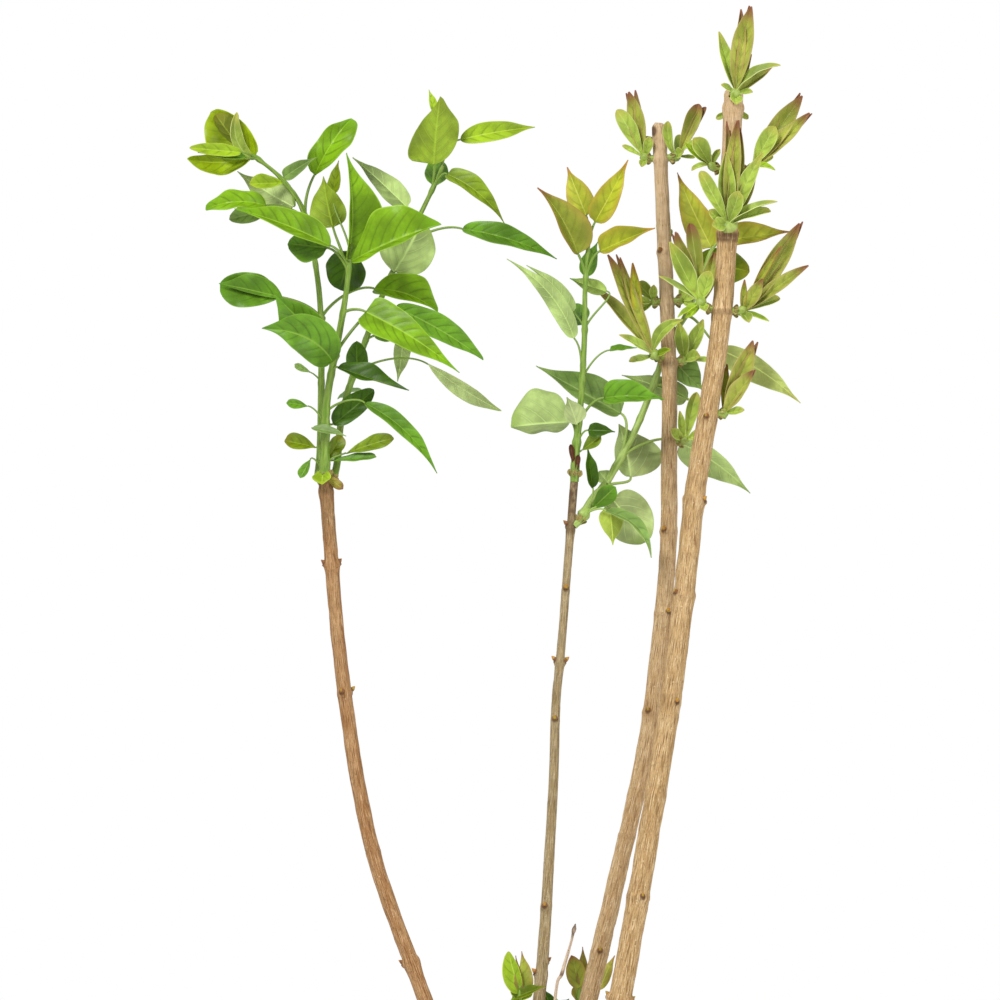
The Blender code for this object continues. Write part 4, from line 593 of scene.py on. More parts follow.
            leaf(0.8, NONE, (5.8, -5, 16.4), 10, turn=10, fold=20, kind="spoon", tint="light", roll=0.8),
            leaf(0.9, NONE, (-22, -7, 13.3), 5, turn=45, tint="light", kind="bud", roll=0.9),
            leaf(0.7, NONE, (8, 6, 28), 9, fold=15, tint="plum", kind="bud", roll=0.9),
            leaf(0.8, NONE, (-13, -6, -8), 4, turn=40, tint="lemon", kind="bud", roll=0.9),
            leaf(0.7, NONE, (2, -6, -4), 6, turn=10, kind="spoon", tint="light", roll=0.8),
            leaf(0.7, NONE, (-9, 6, -8), 4, turn=10, tint="lemon", kind="bud", roll=0.9),
        )),
    "cluster_front_lower_right": dict(
        seat=("stem_right_front", 528, 0), reach=6, rise=1,
        leaves=(
            leaf(0.97, NONE, (30.8, 3, 47.1), 14, fold=22, tint="plum", kind="bud", roll=0.9),
            leaf(0.9, NONE, (34.2, -4, 25.7), 9, turn=20, fold=20, tint="plum", kind="bud", roll=0.9),
            leaf(0.72, NONE, (19.5, -6, 36.4), 4, tint="bronze", kind="bud", roll=0.9),
            leaf(0.8, NONE, (11, -6, 17), 9, turn=10, fold=15, tint="plum", kind="bud", roll=0.9),
            leaf(0.9, NONE, (19, 6, 8), 6, turn=20, kind="spoon", tint="light", roll=0.8),
            leaf(0.8, NONE, (13.7, -5, -6.1), 4, turn=40, tint="lemon", kind="bud", roll=0.9),
            leaf(0.75, NONE, (1, -7, 17), 4, tint="bronze", kind="bud", roll=0.9),
            leaf(0.72, NONE, (4, -7, -6), 7, turn=20, kind="spoon", tint="light", roll=0.8),
        )),
    "cluster_front_foot": dict(
        seat=("stem_right_front", 472, 5), reach=3, rise=3,
        leaves=(
            leaf(0.8, NONE, (17.3, 1, 38.4), 13, fold=18, tint="plum", kind="bud", roll=0.9),
            leaf(0.7, NONE, (16.7, -7, 22.6), 11, turn=20, fold=18, tint="plum", kind="bud", roll=0.9),
            leaf(0.7, NONE, (11, -6, 1), 5, turn=20, kind="spoon", tint="light", roll=0.8),
            leaf(0.7, NONE, (1, 5, 27), 5, tint="bronze", kind="bud", roll=0.9),
            leaf(0.7, NONE, (5, 10, 8), 7, kind="spoon", tint="light", roll=0.8),
        )),
}


def smooth_line(points, per_span):
    """Points of a Catmull-Rom curve through the given ones."""
    corners = np.array(points, float)
    ends = np.vstack([2 * corners[0] - corners[1], corners, 2 * corners[-1] - corners[-2]])
    t = np.arange(per_span)[:, None] / per_span
    line = []
    for before, a, b, after in zip(ends, ends[1:], ends[2:], ends[3:]):
        line.append(0.5 * (2 * a + (b - before) * t + (2 * before - 5 * a + 4 * b - after) * t ** 2
                           + (3 * a - before - 3 * b + after) * t ** 3))
    return np.vstack([*line, corners[-1]])


class Route:
    """A smooth line through given points, after a straight lead where it has one."""

    FINE = 12

    def __init__(self, points, radii, lead=None):
        self.line = smooth_line(points, self.FINE)
        places = np.arange(len(self.line)) / self.FINE
        if lead is not None:
            self.line = np.vstack([lead, self.line])
            places = np.append(0, places)
        steps = np.linalg.norm(np.diff(self.line, axis=0), axis=1)
        self.along = np.append(0, np.cumsum(steps))
        self.length = self.along[-1]
        self.thick = np.interp(places, np.arange(len(radii)), radii)

    def point(self, share):
        """The place on the line at a share of its length."""
        goal = np.clip(share, 0, 1) * self.length
        return np.stack([np.interp(goal, self.along, self.line[:, axis]) for axis in range(3)], axis=-1)

    def radius(self, share):
        """The limb's radius there."""
        return np.interp(np.clip(share, 0, 1) * self.length, self.along, self.thick)

    def heading(self, share):
        """The line's direction there."""
        step = 0.004
        way = self.point(min(share + step, 1)) - self.point(max(share - step, 0))
        return way / np.linalg.norm(way)

    def share_at_height(self, height):
        """The share of the length where the line passes this height."""
        return float(np.interp(height, self.line[:, 2], self.along) / self.length)


def unit(vectors):
    """The vectors at length one."""
    return vectors / np.linalg.norm(vectors, axis=-1, keepdims=True)


def frames_along(points):
    """Direction, side and upper vectors that turn as little as they can along a line of points."""
    heading = unit(np.gradient(points, axis=0))
    start = np.array((0.0, -1.0, 0.0)) if abs(heading[0][1]) < 0.9 else np.array((0.0, 0.0, 1.0))
    side = unit(np.cross(heading[0], start))
    sides = [side]
    for way in heading[1:]:
        side = unit(side - way * side.dot(way))
        sides.append(side)
    sides = np.array(sides)
    return heading, sides, np.cross(sides, heading)


def smooth_step(low, high, value):
    """0 below low, 1 above high, and an easy slope between."""
    t = np.clip((value - low) / (high - low), 0, 1)
    return t * t * (3 - 2 * t)


def value_noise(u, v, around, seed):
    """Smooth random values from 0 to 1, repeating in u after a whole number of cells."""
    rows = int(v.max()) + 3
    cells = np.random.RandomState(seed).rand(around, rows)
    iu, iv = np.floor(u).astype(int), np.floor(v).astype(int)
    fu, fv = u - iu, v - iv
    fu, fv = fu * fu * (3 - 2 * fu), fv * fv * (3 - 2 * fv)
    a, b = cells[iu % around, iv % rows], cells[(iu + 1) % around, iv % rows]
    c, d = cells[iu % around, (iv + 1) % rows], cells[(iu + 1) % around, (iv + 1) % rows]
    return (a * (1 - fu) + b * fu) * (1 - fv) + (c * (1 - fu) + d * fu) * fv


class Piece:
    """Patches of surface that become one mesh, each with its own place on the piece's unwrapped sheet."""

    MARGIN = 0.6

    def __init__(self):
        self.points, self.faces, self.marks, self.sizes = [], [], [], []
        self.count = 0

    def add_points(self, points):
        """Stores points and gives the number of the first."""
        flat = np.asarray(points, float).reshape(-1, 3)
        first = self.count
        self.points.append(flat)
        self.count += len(flat)
        return first

    def add_faces(self, corners, pattern, lines, sheet, finish, patch):
        """Faces of four corners, or three where the last repeats: points, pattern places, sheet place and finish."""
        self.faces.append((corners, pattern, lines, sheet, np.full(len(corners), finish), np.full(len(corners), patch)))

    def patch(self, width, height):
        """A new rectangle on the unwrapped sheet, in millimetres."""
        self.sizes.append((width, height))
        return len(self.sizes) - 1

    def grid(self, points, pattern, lines, size, finish, ring=False, flip=False):
        """A grid of faces; a ring joins its last column to its first."""
        rows, columns = points.shape[:2]
        first = self.add_points(points)
        patch = self.patch(*size)
        numbers = first + np.arange(rows * columns).reshape(rows, columns)
        if ring:
            numbers = np.hstack([numbers, numbers[:, :1]])
        wide = numbers.shape[1]
        sheet = np.stack(np.meshgrid(np.linspace(0, size[0], wide), np.linspace(0, size[1], rows)), axis=-1)
        order = (0, 1, 2, 3) if not flip else (3, 2, 1, 0)

        def corners(values):
            four = (values[:-1, :-1], values[:-1, 1:], values[1:, 1:], values[1:, :-1])
            stacked = np.stack([four[index] for index in order], axis=2)
            return stacked.reshape(-1, 4, *values.shape[2:])

        self.add_faces(corners(numbers), corners(pattern), corners(lines), corners(sheet), finish, patch)
        return numbers

    def strip(self, upper, lower, pattern, lines, finish, patch_size):
        """One row of faces that joins two rows of points already stored."""
        patch = self.patch(*patch_size)
        numbers = np.stack([upper, lower])
        wide = numbers.shape[1]
        sheet = np.stack(np.meshgrid(np.linspace(0, patch_size[0], wide), (0, patch_size[1])), axis=-1)
        both = [np.stack([values, values]) for values in (pattern, lines)]

        def corners(values):
            four = (values[:-1, :-1], values[:-1, 1:], values[1:, 1:], values[1:, :-1])
            return np.stack(four, axis=2).reshape(-1, 4, *values.shape[2:])

        self.add_faces(corners(numbers), corners(both[0]), corners(both[1]), corners(sheet), finish, patch)

    def sheet_places(self):
        """Where each patch's rectangle starts on a square sheet, and the sheet's side."""
        sizes = np.array(self.sizes) + 2 * self.MARGIN
        side = max(math.sqrt((sizes[:, 0] * sizes[:, 1]).sum()) * 1.12, sizes.max())
        order = np.argsort(-sizes[:, 1])
        while True:
            places = np.zeros_like(sizes)
            x = y = shelf = 0.0
            for index in order:
                width, height = sizes[index]
                if x + width > side:
                    x, y, shelf = 0.0, y + shelf, 0.0
                places[index] = (x + self.MARGIN, y + self.MARGIN)
                x += width
                shelf = max(shelf, height)
            if y + shelf <= side:
                return places, side
            side *= 1.04

    def build(self, name, finishes, smooth_angle=60):
        """The finished mesh object, in metres."""
        corners, pattern, lines, sheet, finish, patch = [np.concatenate(part) for part in zip(*self.faces)]
        places, side = self.sheet_places()
        sheet = (sheet + places[patch][:, None, :]) / side
        kept = np.ones(corners.shape, bool)
        kept[:, 3] = corners[:, 2] != corners[:, 3]
        starts = np.append(0, np.cumsum(kept.sum(axis=1))[:-1])
        mesh = bpy.data.meshes.new(name)
        points = np.concatenate(self.points) * MM
        mesh.vertices.add(len(points))
        mesh.vertices.foreach_set("co", points.astype(np.float32).ravel())
        mesh.loops.add(int(kept.sum()))
        mesh.loops.foreach_set("vertex_index", corners[kept].astype(np.int32))
        mesh.polygons.add(len(corners))
        mesh.polygons.foreach_set("loop_start", starts.astype(np.int32))
        mesh.polygons.foreach_set("material_index", finish.astype(np.int32))
        for map_name, values in (("OFBake", sheet), ("pattern", pattern), ("lines", lines)):
            layer = mesh.uv_layers.new(name=map_name)
            layer.data.foreach_set("uv", values[kept].astype(np.float32).ravel())
        for material in finishes:
            mesh.materials.append(material)
        mesh.update()
        mesh.validate()
        face_out(mesh)
        mesh.shade_smooth()
        mesh.set_sharp_from_angle(angle=math.radians(smooth_angle))
        made = bpy.data.objects.new(name, mesh)
        bpy.context.scene.collection.objects.link(made)
        return made


def face_out(mesh):
    """Turns the faces of each closed patch outwards."""
    body = bmesh.new()
    body.from_mesh(mesh)
    bmesh.ops.recalc_face_normals(body, faces=body.faces)
    body.to_mesh(mesh)
    body.free()


def tube(piece, points, radii, finish, sides=10, both_ends=False):
    """A round limb along a line of points; pattern places are the way round and the way along."""
    heading, side, upper = frames_along(points)
    angles = math.tau * np.arange(sides) / sides
    ring = side[:, None, :] * np.cos(angles)[:, None] + upper[:, None, :] * np.sin(angles)[:, None]
    radii = np.asarray(radii, float)
    radii = radii[:, None] if radii.ndim == 1 else radii
    surface = points[:, None, :] + ring * radii[:, :, None]
    along = np.append(0, np.cumsum(np.linalg.norm(np.diff(points, axis=0), axis=1)))
    u, v = np.meshgrid(np.arange(sides + 1) / sides, along)
    pattern = np.stack([u, v * MM], axis=-1)
    around = math.tau * float(radii.mean())
    numbers = piece.grid(surface, pattern, pattern, (around, along[-1]), finish, ring=True)
    close_end(piece, points[-1], numbers[-1], pattern[-1], finish)
    if both_ends:
        close_end(piece, points[0], numbers[0][::-1], pattern[0][::-1], finish)


def close_end(piece, centre, rim, pattern, finish):
    """Closes the end of a tube with faces that meet at its middle."""
    middle = piece.add_points(centre)
    piece.strip(rim, np.full(len(rim), middle), pattern, pattern, finish, (3, 1))


def leaf_axes(spec):
    """The blade's length direction, its upper normal and its width direction."""
    along = spec["blade"].normalized()
    facing = (FRONT - along * FRONT.dot(along)).normalized()
    beside = along.cross(facing)
    if beside.z + UPRIGHT_TIE * beside.x < 0:
        beside = -beside
    normal = facing * math.cos(spec["turn"]) + beside * math.sin(spec["turn"])
    return np.array(along), np.array(normal), np.array(along.cross(normal))


def half_widths(spec, t, side):
    """The width of one half of the blade along its length, drawn out to a fine point."""
    rise, fall, drawn_in = OUTLINES[spec["kind"]]
    share = 1
    if spec[side]:
        share, rise, fall = spec[side]
    peak = rise / (rise + fall)
    t = np.clip(t, 1e-6, 1 - 1e-6)
    shape = (t / peak) ** rise * ((1 - t) / (1 - peak)) ** fall
    shape = shape * (1 - drawn_in * smooth_step(*DRIP, t))
    return np.maximum(spec["width"] / 2 * share * shape, LEAST_HALF_WIDTH)


def midrib_line(spec, base, t):
    """The midrib: arched, swayed to a side, and hooked over towards its tip."""
    along, upper, across = leaf_axes(spec)
    length = spec["blade"].length
    arch = (4 * t * (1 - t))[:, None]
    hook = math.radians(spec["hook"])
    bend = hook * smooth_step(HOOK_START, 1, t)
    step = np.diff(t, prepend=0)
    lift = np.cumsum(np.sin(bend) * step)[:, None] * length
    reach = np.cumsum(np.cos(bend) * step)[:, None] * length
    return (base + along * reach - upper * lift + upper * (spec["bow"] * arch)
            + across * (spec["sway"] * arch + spec["lean"] * length * t[:, None] ** 3))


def leaf_blade(piece, spec, base, finishes, chance):
    """A closed thin blade: folded, rolled and rippled, with its veins sunk above and raised below."""
    length = spec["blade"].length
    spec["lean"] = chance.uniform(-TIP_LEAN, TIP_LEAN)
    rows = int(np.clip(length / BLADE_ROW, LEAST_ROWS, MOST_ROWS))
    columns = 17 if spec["width"] > WIDE_BLADE else 11
    t = np.linspace(0, 1, rows)
    x = np.linspace(-1, 1, columns)
    mid = midrib_line(spec, np.array(base), t)
    tangent = unit(np.gradient(mid, axis=0))
    _, upper, across = leaf_axes(spec)
    normal = unit(upper - tangent * (tangent @ upper)[:, None])
    side = np.cross(tangent, normal)
    turn = math.radians(spec["twist"]) * t[:, None]
    side, normal = side * np.cos(turn) + normal * np.sin(turn), normal * np.cos(turn) - side * np.sin(turn)
    half = np.where(x[None, :] < 0, half_widths(spec, t, "left")[:, None], half_widths(spec, t, "right")[:, None])
    uneven = 1 + chance.uniform(-UNEVEN, UNEVEN) * np.sign(x)[None, :]
    out = np.abs(x)[None, :]
    soft = (np.sqrt(out ** 2 + FOLD_SOFTNESS ** 2) - FOLD_SOFTNESS) / (math.sqrt(1 + FOLD_SOFTNESS ** 2) - FOLD_SOFTNESS)
    roll = max(abs(spec["roll"]), 1e-3)
    flat = np.sin(roll * x)[None, :] / roll
    cup = math.copysign(1, spec["roll"]) * (1 - np.cos(roll * x))[None, :] / roll
    wide = half * math.cos(spec["fold"]) * flat * uneven
    high = half * (math.sin(spec["fold"]) * soft + cup - spec["curl"] * out ** 4)
    spacing = max(length / VEIN_SPACING, 4)
    slant = (VEIN_SLANT * out + VEIN_CURVE * out ** 2) * half / length
    phase = (t[:, None] ** VEIN_CROWDING - slant) * spacing
    swollen = np.abs(np.sin(math.pi * phase)) ** SWELL_ROUNDNESS
    quilt = QUILT * half * swollen * np.sin(math.pi * np.minimum(out, 1)) ** 0.7 * smooth_step(0, 0.1, 1 - t)[:, None]
    waves = spec["ripple"] * half * out ** 2.5 * np.sin(
        math.tau * (t[:, None] * chance.uniform(1.6, 2.6) + np.where(x < 0, chance.random(), chance.random())[None, :]))
    groove = GROOVE * np.exp(-(x[None, :] * half / GROOVE_REACH) ** 2)
    high = high + quilt - groove + waves
    surface = mid[:, None, :] + side[:, None, :] * wide[:, :, None] + normal[:, None, :] * high[:, :, None]
    facing = unit(np.cross(np.gradient(surface, axis=1), np.gradient(surface, axis=0)))
    if (facing * normal[:, None, :]).sum() < 0:
        facing = -facing
    rib = RIB_DEPTH * (1 - 0.75 * t)[:, None] * np.exp(-(x[None, :] * half / RIB_REACH) ** 2)
    thick = BLADE_EDGE + rib * min(1, spec["width"] / WIDE_BLADE)
    under = surface - facing * thick[:, :, None]
    pattern = np.stack(np.broadcast_arrays(x[None, :] * 0.5 + 0.5, t[:, None]), axis=-1)
    lines = np.stack(np.broadcast_arrays(x[None, :] * 0.5 + 0.5, phase), axis=-1)
    size = (spec["width"], length)
    top_finish, under_finish = finishes
    top = piece.grid(surface, pattern, lines, size, top_finish, flip=True)
    low = piece.grid(under, pattern, lines, size, under_finish)
    for rim, rim_low, at in ((top[:, 0], low[:, 0], (slice(None), 0)), (top[::-1, -1], low[::-1, -1], (slice(None, None, -1), -1)),
                             (top[-1], low[-1], (-1, slice(None))), (top[0, ::-1], low[0, ::-1], (0, slice(None, None, -1)))):
        piece.strip(rim, rim_low, pattern[at], lines[at], under_finish, (length if len(rim) == rows else 2, 0.4))


def stalk_curve(spec, joint, heading):
    """Points of the leaf's stalk, which leaves along the shoot and turns into the blade."""
    joint, heading = np.array(joint), np.array(heading)
    stalk, along = np.array(spec["stalk"]), np.array(spec["blade"].normalized())
    span = np.linalg.norm(stalk)
    end = joint + stalk
    start_pull = joint + (heading + stalk / span) * (span * 0.2)
    end_pull = end - along * (span * 0.28)
    t = np.linspace(0, 1, max(5, int(span / 1.6)))[:, None]
    line = (joint * (1 - t) ** 3 + start_pull * 3 * t * (1 - t) ** 2
            + end_pull * 3 * t * t * (1 - t) + end * t ** 3)
    return line


def leaf_on(blades, stalks, spec, joint, heading, finishes, stalk_finish, chance):
    """One leaf on its shoot: its stalk on one piece and its blade on another."""
    joint = np.array(joint)
    base = joint + np.array(spec["stalk"])
    thick = min(STALK_RADIUS, LEAST_STALK + STALK_BY_WIDTH * spec["width"])
    if spec["stalk"].length > 0:
        line = stalk_curve(spec, joint, heading)
        radii = np.linspace(thick * 1.25, thick * 0.85, len(line))
        radii[0] *= 1.35
        tube(stalks, line, radii, stalk_finish, sides=8)
    leaf_blade(blades, spec, base, finishes, chance)


def srgb(colour):
    """A screen colour from 0 to 255 as a light value."""
    return tuple((c / 255 / 12.92) if c <= 10.3 else ((c / 255 + 0.055) / 1.055) ** 2.4 for c in colour)


class Finish:
    """A material and short ways to add and join its nodes."""

    def __init__(self, name, roughness, specular=0.5):
        self.material = bpy.data.materials.new(name)
        self.material.use_nodes = True
        self.nodes = self.material.node_tree.nodes
        self.links = self.material.node_tree.links
        self.shader = self.nodes["Principled BSDF"]
        self.shader.inputs["Roughness"].default_value = roughness
        self.shader.inputs["Specular IOR Level"].default_value = specular

    def put(self, kind, settings=None, **inputs):
        """A node with its settings, its plain values set and its links made."""
        node = self.nodes.new(kind)
        for key, value in (settings or {}).items():
            setattr(node, key, value)
        for key, value in inputs.items():
            socket = node.inputs[int(key[1:])] if key[0] == "i" and key[1:].isdigit() else node.inputs[key]
            if isinstance(value, bpy.types.NodeSocket):
                self.links.new(value, socket)
            else:
                socket.default_value = value
        return node

    def math(self, operation, *values):
        """A sum, product or the like of numbers."""
        inputs = {f"i{index}": value for index, value in enumerate(values)}
        return self.put("ShaderNodeMath", {"operation": operation}, **inputs).outputs[0]

    def between(self, value, low, high, start=0.0, end=1.0):
        """A value eased from one number to another as it passes from low to high."""
        node = self.put("ShaderNodeMapRange", {"interpolation_type": "SMOOTHSTEP"}, Value=value)
        node.inputs["From Min"].default_value = low
        node.inputs["From Max"].default_value = high
        node.inputs["To Min"].default_value = start
        node.inputs["To Max"].default_value = end
        return node.outputs[0]

    def mix(self, factor, first, second):
        """Two colours mixed by a factor."""
        node = self.nodes.new("ShaderNodeMix")
        node.data_type = "RGBA"
        for socket, value in ((node.inputs[0], factor), (node.inputs[6], first), (node.inputs[7], second)):
            if isinstance(value, bpy.types.NodeSocket):
                self.links.new(value, socket)
            else:
                socket.default_value = value if isinstance(value, float) else (*srgb(value), 1)
        return node.outputs[2]

    def place(self, map_name, scale=(1, 1, 1)):
        """Places on one of the piece's maps, stretched."""
        uv = self.put("ShaderNodeUVMap", {"uv_map": map_name}).outputs[0]
        mapping = self.put("ShaderNodeMapping", Vector=uv)
        mapping.inputs["Scale"].default_value = scale
        return mapping.outputs[0]

    def body_place(self):
        """Places on the object itself."""
        return self.put("ShaderNodeTexCoord").outputs["Object"]

    def noise(self, place, scale, detail=3.0, rough=0.55):
        """Cloudy noise about one half."""
        node = self.put("ShaderNodeTexNoise", Vector=place, Scale=scale, Detail=detail, Roughness=rough)
        return node.outputs[0]

    def colour(self, value):
        """Sets the base colour."""
        self.links.new(value, self.shader.inputs["Base Color"])
        return self

    def relief(self, height, depth, strength=1.0):
        """Fine bumps of a real depth in metres."""
        bump = self.put("ShaderNodeBump", Height=height, Strength=strength, Distance=depth)
        self.links.new(bump.outputs[0], self.shader.inputs["Normal"])


def leaf_finish(name, face, vein, rib, margin, tip, roughness, vein_share, rib_share, flush):
    """A leaf's skin: its face with side veins and midrib, painted shade beside the side veins, a margin that may flush
    inwards, and a toned tip.
    """
    finish = Finish(name, roughness, 0.22)
    across = finish.put("ShaderNodeSeparateXYZ", Vector=finish.place("pattern"))
    phase = finish.put("ShaderNodeSeparateXYZ", Vector=finish.place("lines")).outputs[1]
    out = finish.math("ABSOLUTE", finish.math("MULTIPLY_ADD", across.outputs[0], 2.0, -1.0))
    from_line = finish.math("PINGPONG", phase, 0.5)
    vein_line = finish.between(from_line, 0.015, 0.055, vein_share, 0.0)
    inside = finish.between(out, 0.5, 0.95, 1.0, 0.1)
    rib_line = finish.between(out, 0.01, 0.07, rib_share, 0.0)
    cloud = finish.noise(finish.body_place(), 48.0, 4.0)
    patch = finish.noise(finish.body_place(), 210.0, 3.0)
    darker = tuple(c * 0.8 for c in face)
    lighter = tuple(min(255, c * 1.1 + 4) for c in face)
    broad = finish.mix(finish.between(cloud, 0.32, 0.68), darker, lighter)
    tissue = finish.mix(finish.between(patch, 0.35, 0.75, 0.0, 0.35), broad, darker)
    # Painted shade: the tissue right beside each side vein is darkened, standing for the shade in the vein's groove
    groove_shade_mask = finish.between(from_line, 0.02, 0.22, 0.5, 0.0)
    swollen = finish.mix(finish.math("MULTIPLY", groove_shade_mask, inside), tissue, darker)
    veined = finish.mix(finish.math("MULTIPLY", vein_line, inside), swollen, vein)
    ribbed = finish.mix(rib_line, veined, rib)
    blush = finish.math("MULTIPLY", finish.between(out, 0.35, 1.0, 0.0, flush), finish.between(cloud, 0.3, 0.62, 0.3, 1.0))
    flushed = finish.mix(blush, ribbed, margin)
    edged = finish.mix(finish.between(out, 0.93, 1.0, 0.0, 0.75), flushed, margin)
    tipped = finish.mix(finish.between(across.outputs[1], 0.72, 1.0, 0.0, 0.95), edged, tip)
    finish.colour(tipped)
    net = finish.put("ShaderNodeTexVoronoi", {"feature": "DISTANCE_TO_EDGE"}, Vector=finish.body_place(), Scale=900.0)
    finish.relief(net.outputs[0], 0.0003, 0.25)
    return finish.material


def shoot_finish(name, face, pale, dark):
    """A green shoot's skin, streaked along its length and a little duller in patches."""
    finish = Finish(name, 0.45, 0.4)
    streak = finish.noise(finish.place("pattern", (9, 90, 1)), 1.0, 4.0)
    cloud = finish.noise(finish.body_place(), 120.0, 3.0)
    tissue = finish.mix(finish.between(streak, 0.3, 0.72), face, pale)
    finish.colour(finish.mix(finish.between(cloud, 0.56, 0.8, 0.0, 0.6), tissue, dark))
    finish.relief(streak, 0.0003, 0.5)
    return finish.material


def bark_finish(name, face, pale, dark, fleck, bands=(), notches=()):
    """Young bark: fine fissures along the stem, pale lenticels, dark specks, bands at heights, and bud notches."""
    finish = Finish(name, 0.8, 0.25)
    broad = finish.noise(finish.place("pattern", (3, 16, 1)), 1.0, 4.0)
    grain = finish.noise(finish.place("pattern", (62, 90, 1)), 1.0, 5.0, 0.65)
    fissure = finish.noise(finish.place("pattern", (72, 100, 1)), 1.0, 3.0, 0.6)
    hair = finish.noise(finish.place("pattern", (110, 500, 1)), 1.0, 2.0, 0.6)
    tissue = finish.mix(finish.between(broad, 0.36, 0.64), face, pale)
    ridged = finish.mix(finish.between(grain, 0.52, 0.62, 0.0, 0.85), tissue, fleck)
    grained = finish.mix(finish.between(grain, 0.48, 0.38, 0.0, 0.6), ridged, dark)
    lined = finish.mix(finish.between(hair, 0.46, 0.38, 0.0, 0.4), grained, dark)
    cracked = finish.mix(finish.between(fissure, 0.43, 0.38, 0.0, 0.7), lined, dark)
    cells = finish.put("ShaderNodeTexVoronoi", Vector=finish.place("pattern", (11, 330, 1)), Scale=1.0)
    chosen = finish.between(finish.put("ShaderNodeSeparateXYZ", Vector=cells.outputs["Color"]).outputs[0], 0.68, 0.72)
    spot = finish.math("MULTIPLY", finish.between(cells.outputs["Distance"], 0.1, 0.19, 1.0, 0.0), chosen)
    flecked = finish.mix(finish.math("MULTIPLY", spot, 0.7), cracked, fleck)
    speck = finish.noise(finish.body_place(), 1300.0, 2.0)
    toned = finish.mix(finish.between(speck, 0.66, 0.74, 0.0, 0.8), flecked, (58, 38, 22))
    height = finish.put("ShaderNodeSeparateXYZ", Vector=finish.body_place()).outputs[2]
    patchy = finish.between(finish.noise(finish.body_place(), 260.0, 3.0), 0.3, 0.62, 0.35, 1.0)
    # Bands at heights: dark rings at the nodes, stains, paler stretches, and painted shadow under clusters
    for middle, reach, strength, colour in bands:
        apart = finish.math("ABSOLUTE", finish.math("SUBTRACT", height, middle * MM))
        inside = finish.between(apart, reach * MM * 0.35, reach * MM, strength, 0.0)
        toned = finish.mix(finish.math("MULTIPLY", inside, patchy), toned, colour)
    for place, reach in notches:
        apart = finish.put("ShaderNodeVectorMath", {"operation": "DISTANCE"}, i0=finish.body_place(), i1=place)
        inside = finish.between(apart.outputs["Value"], reach * MM * 0.5, reach * MM, 0.85, 0.0)
        toned = finish.mix(inside, toned, NOTCH_COLOUR)
    finish.colour(toned)
    ridge = finish.math("ADD", finish.math("MULTIPLY", grain, 0.6), finish.math("MULTIPLY", fissure, 0.6))
    finish.relief(finish.math("MULTIPLY_ADD", spot, 0.35, ridge), 0.0008, 0.9)
    return finish.material


def bud_finish():
    """A bud's skin: red-brown at its foot, and green with an orange flush towards its tip."""
    finish = Finish("bud_skin", 0.5, 0.4)
    along = finish.put("ShaderNodeSeparateXYZ", Vector=finish.place("pattern")).outputs[1]
    cloud = finish.noise(finish.body_place(), 900.0, 2.0)
    flush = finish.mix(finish.between(cloud, 0.4, 0.6), (158, 150, 40), (190, 112, 44))
    finish.colour(finish.mix(finish.between(along, 0.0006, 0.0018), (74, 42, 22), flush))
    return finish.material


def stem_route(name):
    """The line of a woody stem."""
    return Route(STEMS[name]["route"], STEMS[name]["radii"])


def swollen_radius(stem, route, share):
    """A stem's radius with its swelling at the nodes."""
    swell = np.zeros_like(share)
    for height in stem["nodes"]:
        apart = np.abs(share - route.share_at_height(height)) * route.length
        swell = np.maximum(swell, NODE_SWELL * np.exp(-(apart / NODE_REACH) ** 2))
    return route.radius(share) * (1 + swell)


def compass(degrees):
    """A level direction: 0 right, 90 back, 180 left, 270 front."""
    return np.array((math.cos(math.radians(degrees)), math.sin(math.radians(degrees)), 0.0))


def seat_on_stem(stem_name, height, degrees, lift=0):
    """The stem's middle at a height, the way out of it, and the way's length as far as the bark."""
    stem, route = STEMS[stem_name], stem_route(stem_name)
    share = route.share_at_height(height)
    heading = route.heading(share)
    level = compass(degrees)
    across = unit(level - heading * level.dot(heading))
    slope = math.radians(lift)
    outward = across * math.cos(slope) + heading * math.sin(slope)
    bark = float(swollen_radius(stem, route, np.array([share]))[0]) / math.cos(slope)
    return route.point(share), outward, bark


def mass_route(mass):
    """The line of a mass's own shoot, from its first point or out of its seat in a stem."""
    if "seat" not in mass:
        first, second = np.array(mass["route"][:2], float)
        return Route(mass["route"], mass["radii"], first - unit(second - first) * ROOT_LAP)
    middle, outward, bark = seat_on_stem(*mass["seat"])
    foot = mass["radii"][0] if "radii" in mass else SPUR_RADII[0]
    lift = mass["seat"][3] if len(mass["seat"]) > 3 else 0
    start = middle + outward * (bark + SEAT_RISE + foot * math.tan(math.radians(lift)))
    straight = start + outward * STRAIGHT
    root = middle + outward * (bark * 0.6)
    if "route" in mass:
        return Route((straight, *mass["route"]), mass["radii"], root)
    end = start + outward * mass["reach"] + np.array(UP) * mass["rise"]
    return Route((straight, end), SPUR_RADII, root)


